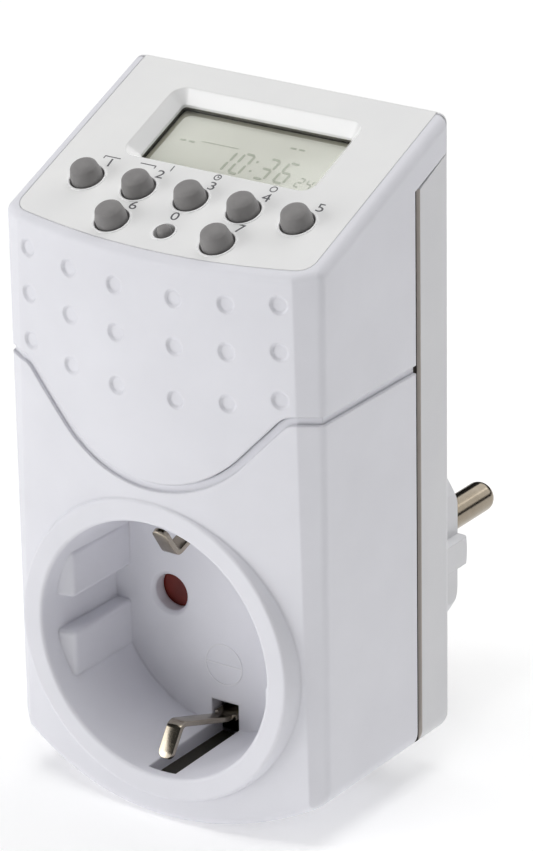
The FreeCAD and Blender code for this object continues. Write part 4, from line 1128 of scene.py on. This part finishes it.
@dataclass(frozen=True)
class RubberKeys:
    """Seven domed keys and the small reset key that stand in the panel's holes.

    Each is turned from one outline, from its crown to the flange behind the plate.
    """

    row: tuple[float, ...] = (-17.8, -8.9, 0.0, 8.9, 17.8)
    row_up: float = 5.5
    second_row: tuple[float, ...] = (-8.9, 8.9)
    second_up: float = -1.4
    dome: tuple[Corner, ...] = (
        Corner(0, 2.8),
        Corner(1.25, 2.62, 1.5),
        Corner(1.92, 2.08, 0.5),
        Corner(2.26, 0.8, 1.5),
        Corner(2.28, -2.25, 0.15),
        Corner(2.9, -2.25, 0.15),
        Corner(2.9, -3.05, 0.15),
        Corner(0, -3.05),
    )
    reset_dome: tuple[Corner, ...] = (
        Corner(0, 0.98),
        Corner(0.56, 0.88, 0.8),
        Corner(0.94, 0.46, 0.5),
        Corner(1.08, -0.8, 1.0),
        Corner(1.12, -2.25, 0.1),
        Corner(2.2, -2.25, 0.12),
        Corner(2.2, -3.05, 0.12),
        Corner(0, -3.05),
    )
    smooth_under: float = 60.0

    def spots(self) -> dict[str, Point]:
        """Where each domed key stands on the panel.

        Returns:
            Across and up, by the name of the key's solid.
        """
        places = [(across, self.row_up) for across in self.row]
        places += [(across, self.second_up) for across in self.second_row]
        return {f"key_{number}": place for number, place in enumerate(places, 1)}

    def stand(self, key: Piece, node: str, spot: Point) -> None:
        """Puts a turned key in its hole and fixes it to the body that is pressed.

        Args:
            key: turned key, upright at the origin.
            node: name of the solid that it stands for.
            spot: place on the panel, across and up.
        """
        settle(key, PANEL.place(*spot))
        dress(key, f"rubber_{node}", KEY_SILICONE, f"{node}_body")
        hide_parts(node)

    def build(self) -> None:
        """Turns one key, copies it to every hole, and turns the reset key."""
        pattern = turned_body(self.dome)
        smooth(pattern, self.smooth_under)
        for node, spot in self.spots().items():
            self.stand(copied(pattern), node, spot)
        bpy.data.objects.remove(pattern)
        reset = turned_body(self.reset_dome, steps=48)
        smooth(reset, self.smooth_under)
        self.stand(reset, "reset_key", (0.0, self.second_up))
        LOG.info("rubber keys: %d domed, 1 reset", len(self.spots()))


@dataclass(frozen=True)
class Sheet:
    """Flat part of the display: its level behind the plate, its thickness and its outline.

    It is a frame where it has an opening, and its edges are dulled where edge says so.
    """

    name: str
    finish: Finish
    slot: str
    level: float
    thickness: float
    outline: Outline
    opening: Outline | None = None
    edge: float = 0.0
    steps: int = 6


CELL = Outline((15.25, 6.75), 0.3)
SHADE_BAND_OPENING = Outline((14.75, 6.2), 0.6)
GASKET = Outline((15.43, 6.93), 0.4)


@dataclass(frozen=True)
class Display:
    """Liquid crystal display: glass cell, its edge films and digits, and the pane over them."""

    middle: float = 19.2
    digits_level: float = -3.18
    film: float = 0.02
    sheets: tuple[Sheet, ...] = (
        Sheet("display_cell", DISPLAY_GLASS, "display", -3.22, 1.75, CELL, edge=0.06, steps=3),
        # this first film is painted shade, a dark band where the gap under the window's edge lies
        # in shadow
        Sheet("display_edge_painted_shade", EDGE_SHADE_FILM, "display", -3.19, 0.02, CELL, SHADE_BAND_OPENING),
        Sheet(
            "display_border",
            BORDER_FILM,
            "display",
            -3.19,
            0.02,
            SHADE_BAND_OPENING,
            Outline((14.1, 5.55), 1.4),
        ),
        Sheet(
            "display_gasket",
            GASKET_TAPE,
            "conductive_rubber",
            -2.27,
            0.9,
            GASKET,
            Outline((15.04, 6.54), 0.3),
        ),
        # painted shade: thin black film over the gasket's edge
        Sheet(
            "display_gasket_shade_edge",
            GASKET_SHADE_FILM,
            "conductive_rubber",
            -2.22,
            0.04,
            GASKET,
            Outline((15.2, 6.7), 0.3),
        ),
        Sheet(
            "display_pane",
            CLEAR_ACRYLIC,
            "clear",
            -2.22,
            0.93,
            Outline((15.0, 6.5), 0.5),
            edge=0.08,
            steps=4,
        ),
    )
    digit_half: Point = (0.85, 2.1)
    digit_middle: float = -1.85
    digit_lefts: tuple[float, ...] = (-3.77, -0.74, 3.54, 6.8)
    digit_text: str = "1036"
    small_half: Point = (0.45, 0.9)
    small_middle: float = -3.1
    small_lefts: tuple[float, ...] = (10.2, 11.75)
    small_text: str = "24"
    stroke: float = 0.42
    small_stroke: float = 0.252
    stroke_gap: float = 0.35
    stroke_point: float = 0.42
    bar_corner: float = 0.6
    slant: float = 0.14
    bars: tuple[Mark, ...] = (
        Mark(2.2, -2.85, (0.2, 0.2)),
        Mark(2.2, -0.85, (0.2, 0.2)),
        Mark(-11.4, 0.45, (0.5, 0.16)),
        Mark(-9.9, 0.45, (0.5, 0.16)),
        Mark(5.8, 3.15, (0.5, 0.16)),
        Mark(7.2, 3.15, (0.5, 0.16)),
        Mark(-5.3, 0.9, (3.2, 0.06)),
    )

    def lit(self, character: str) -> str:
        """Strokes that one digit shows, lettered from the top round to the middle.

        Args:
            character: the digit.

        Returns:
            The strokes' letters.
        """
        low = ("abcdef", "bc", "abdeg", "abcdg", "bcfg")
        high = ("acdfg", "acdefg", "abc", "abcdefg", "abcdfg")
        return (low + high)[int(character)]

    def stroke_places(self, half: Point) -> dict[str, tuple[float, float, bool]]:
        """Place of each stroke in a digit, and whether it lies flat.

        Args:
            half: half the digit's width and height.

        Returns:
            Across, up and flat, for each stroke's letter.
        """
        across, up = half
        return {
            "a": (0.0, up, True),
            "b": (across, up / 2, False),
            "c": (across, -up / 2, False),
            "d": (0.0, -up, True),
            "e": (-across, -up / 2, False),
            "f": (-across, up / 2, False),
            "g": (0.0, 0.0, True),
        }

    def on_cell(self, across: float, up: float) -> Matrix:
        """Matrix of a spot on the cell, from the display's middle."""
        return PANEL.place(across, self.middle + up, self.digits_level)

    def digit(
        self, character: str, left: float, middle: float, half: Point, stroke: float
    ) -> list[Piece]:
        """Draws the strokes of one digit on the cell.

        Args:
            character: the digit.
            left: its left edge.
            middle: its middle, up from the display's middle.
            half: half its width and height.
            stroke: width of its strokes.

        Returns:
            The strokes, in place.
        """
        drawn = []
        gap, point = stroke * self.stroke_gap, stroke * self.stroke_point
        flat, upright = (
            thicken(rounded_face(Outline(size, point), 1), self.film)
            for size in ((half[0] - gap, stroke / 2), (stroke / 2, half[1] / 2 - gap))
        )
        lean = Matrix.Identity(4)
        lean[0][1] = self.slant
        start = self.on_cell(left + half[0], middle) @ lean
        for letter in self.lit(character):
            across, up, lies_flat = self.stroke_places(half)[letter]
            piece = copied(flat if lies_flat else upright)
            settle(piece, start @ Matrix.Translation(Vector((across, up, 0)) * MM))
            drawn.append(piece)
        for pattern in (flat, upright):
            bpy.data.objects.remove(pattern)
        return drawn

    def bar(self, mark: Mark) -> Piece:
        """Draws one straight mark on the cell.

        Args:
            mark: its middle, from the display's, and half its size.

        Returns:
            The mark, in place.
        """
        outline = Outline(mark.half, min(mark.half) * self.bar_corner)
        piece = thicken(rounded_face(outline, 2), self.film)
        settle(piece, self.on_cell(mark.across, mark.up))
        return piece

    def draw_digits(self) -> None:
        """Draws the clock's digits and the small marks of the display."""
        drawn = []
        for character, left in zip(self.digit_text, self.digit_lefts):
            drawn += self.digit(character, left, self.digit_middle, self.digit_half, self.stroke)
        for character, left in zip(self.small_text, self.small_lefts):
            drawn += self.digit(
                character, left, self.small_middle, self.small_half, self.small_stroke
            )
        drawn += [self.bar(mark) for mark in self.bars]
        dress(united(drawn), "display_digits", SEGMENT_INK)

    def lay(self, sheet: Sheet) -> Piece:
        """Makes a flat part of the display and lays it at its level behind the plate.

        Args:
            sheet: the part.

        Returns:
            The part, in place.
        """
        if sheet.opening:
            face = flat_frame(sheet.outline, sheet.opening)
        else:
            face = rounded_face(sheet.outline, sheet.steps)
        piece = thicken(face, sheet.thickness, sheet.edge)
        settle(piece, PANEL.place(0, self.middle, sheet.level))
        return dress(piece, sheet.name, sheet.finish)

    def build(self) -> None:
        """Builds the cell, its films, gasket, pane and digits."""
        laid = {sheet.name: self.lay(sheet) for sheet in self.sheets}
        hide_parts("lcd_glass")
        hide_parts("lcd_window")
        self.draw_digits()
        LOG.info("display: cell, two films, gasket, pane and digits")


@dataclass(frozen=True)
class PrintedMarks:
    """Plain numbers and simple marks printed on the plate beside the keys."""

    numbers: tuple[tuple[str, float, float], ...] = (
        ("1", -16.2, 9.1),
        ("2", -7.4, 8.95),
        ("3", 1.5, 8.85),
        ("4", 10.6, 8.85),
        ("5", 19.4, 9.1),
        ("6", -7.5, 2.1),
        ("7", 10.4, 2.1),
        ("0", -0.2, 1.75),
    )
    number_height: float = 1.6
    number_stretch: float = 1.25
    marks: tuple[Mark, ...] = (
        Mark(-16.5, 10.35, (1.35, 0.085)),
        Mark(-17.8, 10.1, (0.085, 0.3)),
        Mark(-10.4, 10.4, (1.35, 0.085)),
        Mark(-9.1, 10.15, (0.085, 0.3)),
        Mark(-6.4, 10.6, (0.085, 0.6)),
        Mark(1.2, 10.75, (0.6, 0.6), is_ring=True),
        Mark(1.2, 10.95, (0.068, 0.22)),
        Mark(1.36, 10.75, (0.18, 0.068)),
        Mark(10.6, 10.75, (0.6, 0.6), is_ring=True),
    )
    number_shear: float = -0.06
    ring_width: float = 0.17
    bar_corner: float = 0.7
    ink: float = 0.012
    ink_face: float = 0.0132

    def printed(self, piece: Piece, across: float, up: float) -> Piece:
        """Lays a flat mark on the plate as a film of ink.

        Args:
            piece: flat mark round the origin.
            across: place to the right of the middle.
            up: place up the slope.

        Returns:
            The mark, in place.
        """
        thicken(piece, self.ink)
        settle(piece, PANEL.place(across, up, self.ink_face))
        return piece

    def number(self, character: str) -> Piece:
        """Draws one leaning number as a flat mesh round the origin.

        Args:
            character: the number.

        Returns:
            The number, of the height that is printed.
        """
        deselect()
        bpy.ops.object.text_add()
        piece = bpy.context.object
        piece.data.body = character
        piece.data.shear = self.number_shear
        piece.data.align_x = "CENTER"
        piece.data.align_y = "CENTER"
        piece.data.resolution_u = 6
        bpy.ops.object.convert(target="MESH")
        piece = bpy.context.object
        share = self.number_height * MM / piece.dimensions.y
        piece.scale = (share * self.number_stretch, share, share)
        bpy.ops.object.transform_apply(location=False, rotation=False, scale=True)
        return piece

    def drawn(self, mark: Mark) -> Piece:
        """Draws one mark as a flat mesh round the origin, a ring or a bar with rounded ends.

        Args:
            mark: the mark.

        Returns:
            The flat mesh.
        """
        if mark.is_ring:
            return round_ring(mark.half[0], mark.half[0] - self.ring_width)
        return rounded_face(Outline(mark.half, min(mark.half) * self.bar_corner), 3)

    def build(self) -> None:
        """Prints the numbers, the two brackets and the marks above the keys."""
        marks = [self.printed(self.number(text), *spot) for text, *spot in self.numbers]
        marks += [self.printed(self.drawn(mark), mark.across, mark.up) for mark in self.marks]
        dress(united(marks), "printed_marks", INK)
        LOG.info("printed marks: %d numbers and the lines beside them", len(self.numbers))


@dataclass(frozen=True)
class WellMark:
    """Plain raised circle with a line across it, on the floor of the socket well."""

    across: float = -0.1
    up: float = -9.1
    radius: float = 3.3
    width: float = 0.24
    rise: float = 0.1
    root: float = 0.02
    edge: float = 0.03
    bar_corner: float = 0.072
    floor_depth: float = 17.5

    def build(self) -> None:
        """Raises the circle and its line from the floor."""
        inner = self.radius - self.width
        circle = round_ring(self.radius, inner)
        bar = rounded_face(Outline((inner, self.width / 2), self.bar_corner), 2)
        mark = united([thicken(piece, self.rise + self.root, self.edge) for piece in (circle, bar)])
        spot = Vector((self.across, depth_at(self.floor_depth) - self.rise, self.up)) * MM
        settle(mark, Matrix.Translation(spot) @ Matrix.Rotation(math.pi / 2, 4, "X"))
        dress(mark, "well_mark", MARK_ABS)
        LOG.info("well mark: circle and line")


@dataclass(frozen=True)
class HoleRims:
    """Low glossy rims moulded round the holes that the keys stand in, whiter than the plate as a
    painted highlight.
    """

    key_radius: float = 2.56
    reset_radius: float = 1.56
    width: float = 0.3
    rise: float = 0.12
    root: float = 0.1
    rounding: float = 0.09

    def rim(self, radius: float, spot: Point) -> Piece:
        """Lays one rim round a hole.

        Args:
            radius: radius of the hole.
            spot: place on the panel, across and up.

        Returns:
            The rim, in place.
        """
        ring = round_ring(radius + self.width, radius)
        piece = thicken(ring, self.rise + self.root, self.rounding)
        settle(piece, PANEL.place(*spot, self.rise))
        return piece

    def build(self) -> None:
        """Lays a rim round each of the eight holes."""
        keys = RubberKeys()
        rims = [self.rim(self.key_radius, spot) for spot in keys.spots().values()]
        rims.append(self.rim(self.reset_radius, (0.0, keys.second_up)))
        dress(united(rims), "key_hole_rims", RIM_ABS)
        LOG.info("hole rims: %d", len(rims))


@dataclass(frozen=True)
class SlotShadeStrips:
    """Dark strips that lie in the slots behind the two sprung clips, as painted shade in the slots.
    """

    half_width: float = 2.3
    front_depth: float = 1.75
    back_depth: float = 19.9
    slot_floor: float = 21.17
    thickness: float = 0.03
    corner: float = 0.2

    def build(self) -> None:
        """Lays one strip in each slot."""
        half_length = (self.back_depth - self.front_depth) / 2
        middle = depth_at((self.front_depth + self.back_depth) / 2)
        face = rounded_face(Outline((self.half_width, half_length), self.corner), 2)
        pattern = thicken(face, self.thickness)
        for name, turn in (("lower_slot_shade_strip", 0.0), ("upper_slot_shade_strip", math.pi)):
            strip = copied(pattern)
            lift = Matrix.Translation(Vector((0, middle, -self.slot_floor + self.thickness)) * MM)
            settle(strip, Matrix.Rotation(turn, 4, "Y") @ lift)
            dress(strip, name, SLOT_SHADE_FILM)
        bpy.data.objects.remove(pattern)
        LOG.info("slot strips: 2")


@dataclass(frozen=True)
class HousingScrews:
    """Four pan-head screws with a cross recess, deep in the rear shell's holes."""

    across: float = 20.3
    heights: Point = (-16.3, 47.0)
    seat_depth: float = 30.7
    outline: tuple[Corner, ...] = (
        Corner(0, 2.2),
        Corner(1.7, 2.15, 0.8),
        Corner(2.68, 1.3, 0.6),
        Corner(2.68, 0.0, 0.1),
        Corner(1.48, 0.0, 0.1),
        Corner(1.48, -5.2),
        Corner(1.28, -5.2),
        Corner(1.28, -14.1, 0.3),
        Corner(0, -14.1),
    )
    recess: Outline = Outline((1.45, 0.34), 0.15)
    recess_top: float = 3.2
    recess_height: float = 2.3
    recess_turn: float = 0.3
    smooth_under: float = 35.0

    def recess_cutter(self, turn: float) -> Piece:
        """One arm of the cross that is cut out of the head.

        Args:
            turn: angle of the arm about the screw's axis.

        Returns:
            The arm, reaching above the head.
        """
        arm = thicken(rounded_face(self.recess, 2), self.recess_height)
        top = Matrix.Translation(Vector((0, 0, self.recess_top)) * MM)
        settle(arm, Matrix.Rotation(turn, 4, "Z") @ top)
        return arm

    def screw(self) -> Piece:
        """Turns one screw and cuts its cross recess.

        Returns:
            The screw, upright with its seat at the origin.
        """
        piece = turned_body(self.outline, steps=40)
        for turn in (self.recess_turn, self.recess_turn + math.pi / 2):
            arm = self.recess_cutter(turn)
            cut = piece.modifiers.new("recess", "BOOLEAN")
            cut.object = arm
            cut.operation = "DIFFERENCE"
            apply_all(piece)
            bpy.data.objects.remove(arm)
        smooth(piece, self.smooth_under)
        return piece

    def build(self) -> None:
        """Puts a screw in each of the four holes."""
        pattern = self.screw()
        screws = []
        for side in (-1, 1):
            for height in self.heights:
                piece = copied(pattern)
                seat = Vector((side * self.across, depth_at(self.seat_depth), height)) * MM
                settle(piece, Matrix.Translation(seat) @ Matrix.Rotation(-math.pi / 2, 4, "X"))
                screws.append(piece)
        bpy.data.objects.remove(pattern)
        piece = dress(united(screws), "cross_head_screws", ZINC_STEEL)
        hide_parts("housing_screws")
        LOG.info("housing screws: 4")


@dataclass(frozen=True)
class EarthMetal:
    """Earth bracket of the socket and earth strips of the plug, their stamped edges rounded."""

    bracket_edge: float = 0.3
    strip_edge: float = 0.2

    def build(self) -> None:
        """Rounds the edges of both and plates them with nickel."""
        for node, name, width in (
            ("earth_bracket", "rounded_earth_bracket", self.bracket_edge),
            ("plug_earth_strips", "rounded_plug_strips", self.strip_edge),
        ):
            piece = dress(softened(node, width), name, NICKEL)
            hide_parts(node)
        LOG.info("earth metal: bracket and plug strips rounded")


@dataclass(frozen=True)
class LeafSpring:
    """Leaf spring of the shutter, which gives way towards its fixed end as the shutter turns."""

    fixed_height: float = 10.6
    edge: float = 0.04
    kept: float = 0.3

    def build(self) -> None:
        """Rounds the leaf's edges and gives the rounded copy a mesh of its own."""
        piece = softened("shutter_spring", self.edge)
        dress(piece, "shutter_leaf_spring", SPRING_STEEL)
        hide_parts("shutter_spring")
        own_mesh(piece)
        LOG.info("leaf spring: 1")


@dataclass(frozen=True)
class PackedSolids:
    """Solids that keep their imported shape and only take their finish."""

    slots: dict[str, Finish]
    own: dict[str, Finish]

    def build(self) -> None:
        """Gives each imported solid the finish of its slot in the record."""
        for part in frame["record"]["subparts"]:
            solid = frame["nodes"][part["node"]]
            finish = self.own.get(part["node"], self.slots[part["material_slot"]])
            solid.data.materials.clear()
            solid.data.materials.append(finish.material())


def direction(azimuth: float, elevation: float) -> Vector:
    """Direction from the object, from degrees round it and above the horizon.

    Args:
        azimuth: 0 in front of it and 90 on its right.
        elevation: angle above the horizon.

    Returns:
        The direction, of length one.
    """
    turn, rise = math.radians(azimuth), math.radians(elevation)
    level = math.cos(rise)
    return Vector((math.sin(turn) * level, -math.cos(turn) * level, math.sin(rise)))


@dataclass(frozen=True)
class SoftBox:
    """Square soft box that faces the object, its lengths in metres and its power in watts."""

    name: str
    azimuth: float
    elevation: float
    away: float
    size: float
    power: float

    def hang(self) -> None:
        """Hangs the light."""
        data = bpy.data.lights.new(self.name, "AREA")
        data.shape = "SQUARE"
        data.size = self.size
        data.energy = self.power
        lamp = bpy.data.objects.new(self.name, data)
        back = direction(self.azimuth, self.elevation)
        lamp.location = back * self.away
        lamp.rotation_mode = "QUATERNION"
        lamp.rotation_quaternion = back.to_track_quat("Z", "Y")
        bpy.context.collection.objects.link(lamp)


@dataclass(frozen=True)
class Studio:
    """White floor, soft boxes and the camera at the photograph's place."""

    floor_level: float = -26.3
    floor_size: float = 8.0
    soft_boxes: tuple[SoftBox, ...] = (
        SoftBox("low_left_soft_box", -50, 10, 1.5, 1.0, 8.5),
        SoftBox("low_front_soft_box", -28, 8, 1.5, 1.0, 4.3),
        SoftBox("right_soft_box", 140, 30, 1.5, 1.0, 3.9),
        SoftBox("top_soft_box", 5, 84, 1.6, 1.3, 15.9),
        SoftBox("rear_soft_box", 180, 45, 1.6, 1.2, 6.0),
    )
    surroundings: str = "#F4F5F8"
    surroundings_strength: float = 0.02
    camera_place: Triple = (344.67, -499.23, 271.17)
    azimuth: float = 35.035
    elevation: float = 22.289
    roll: float = -1.039
    focal_px: float = 4512.0
    centre_px: Point = (265.99, 421.18)
    image_px: tuple[int, int] = (533, 851)
    sensor_mm: float = 36.0
    nearest: float = 0.05

    def lay_floor(self) -> None:
        """Lays the floor under the housing."""
        deselect()
        level = self.floor_level * MM
        bpy.ops.mesh.primitive_plane_add(size=self.floor_size, location=(0, 0, level))
        floor = bpy.context.object
        floor.name = "studio_floor"
        floor.data.materials.append(FLOOR_PAINT.material())

    def light(self) -> None:
        """Hangs the soft boxes and sets the pale surroundings."""
        for soft_box in self.soft_boxes:
            soft_box.hang()
        world = bpy.data.worlds.new("pale_studio")
        world.use_nodes = True
        background = world.node_tree.nodes["Background"].inputs
        background["Color"].default_value = linear(self.surroundings)
        background["Strength"].default_value = self.surroundings_strength
        bpy.context.scene.world = world

    def set_camera(self) -> None:
        """Sets the camera at the photograph's place, angle and framing."""
        turn, roll = math.radians(self.azimuth), math.radians(self.roll)
        back = direction(self.azimuth, self.elevation)
        right = Vector((math.cos(turn), math.sin(turn), 0))
        up = back.cross(right)
        level_right = right * math.cos(roll) + up * math.sin(roll)
        level_up = up * math.cos(roll) - right * math.sin(roll)
        data = bpy.data.cameras.new("photo_camera")
        width, height = self.image_px
        data.sensor_width = self.sensor_mm
        data.lens = self.focal_px / height * data.sensor_width
        data.shift_x = (width / 2 - self.centre_px[0]) / height
        data.shift_y = (self.centre_px[1] - height / 2) / height
        data.clip_start = self.nearest
        camera = bpy.data.objects.new("photo_camera", data)
        axes = Matrix((level_right, level_up, back)).transposed().to_4x4()
        camera.matrix_world = Matrix.Translation(Vector(self.camera_place) * MM) @ axes
        bpy.context.collection.objects.link(camera)
        bpy.context.scene.camera = camera

    def build(self) -> None:
        """Builds the whole studio."""
        self.lay_floor()
        self.light()
        self.set_camera()
        bpy.context.scene.view_settings.view_transform = "Standard"
        LOG.info("studio: floor, %d soft boxes and camera", len(self.soft_boxes))


def main() -> None:
    """Builds every class in order."""
    logging.basicConfig(level=logging.INFO, format="%(message)s")
    for sub_assembly in (
        PackedSolids(FINISH_OF_SLOT, FINISH_OF_SOLID),
        RubberKeys(),
        Display(),
        PrintedMarks(),
        WellMark(),
        HoleRims(),
        SlotShadeStrips(),
        EarthMetal(),
        HousingScrews(),
        LeafSpring(),
        Studio(),
    ):
        sub_assembly.build()


if __name__ == "__main__":
    main()
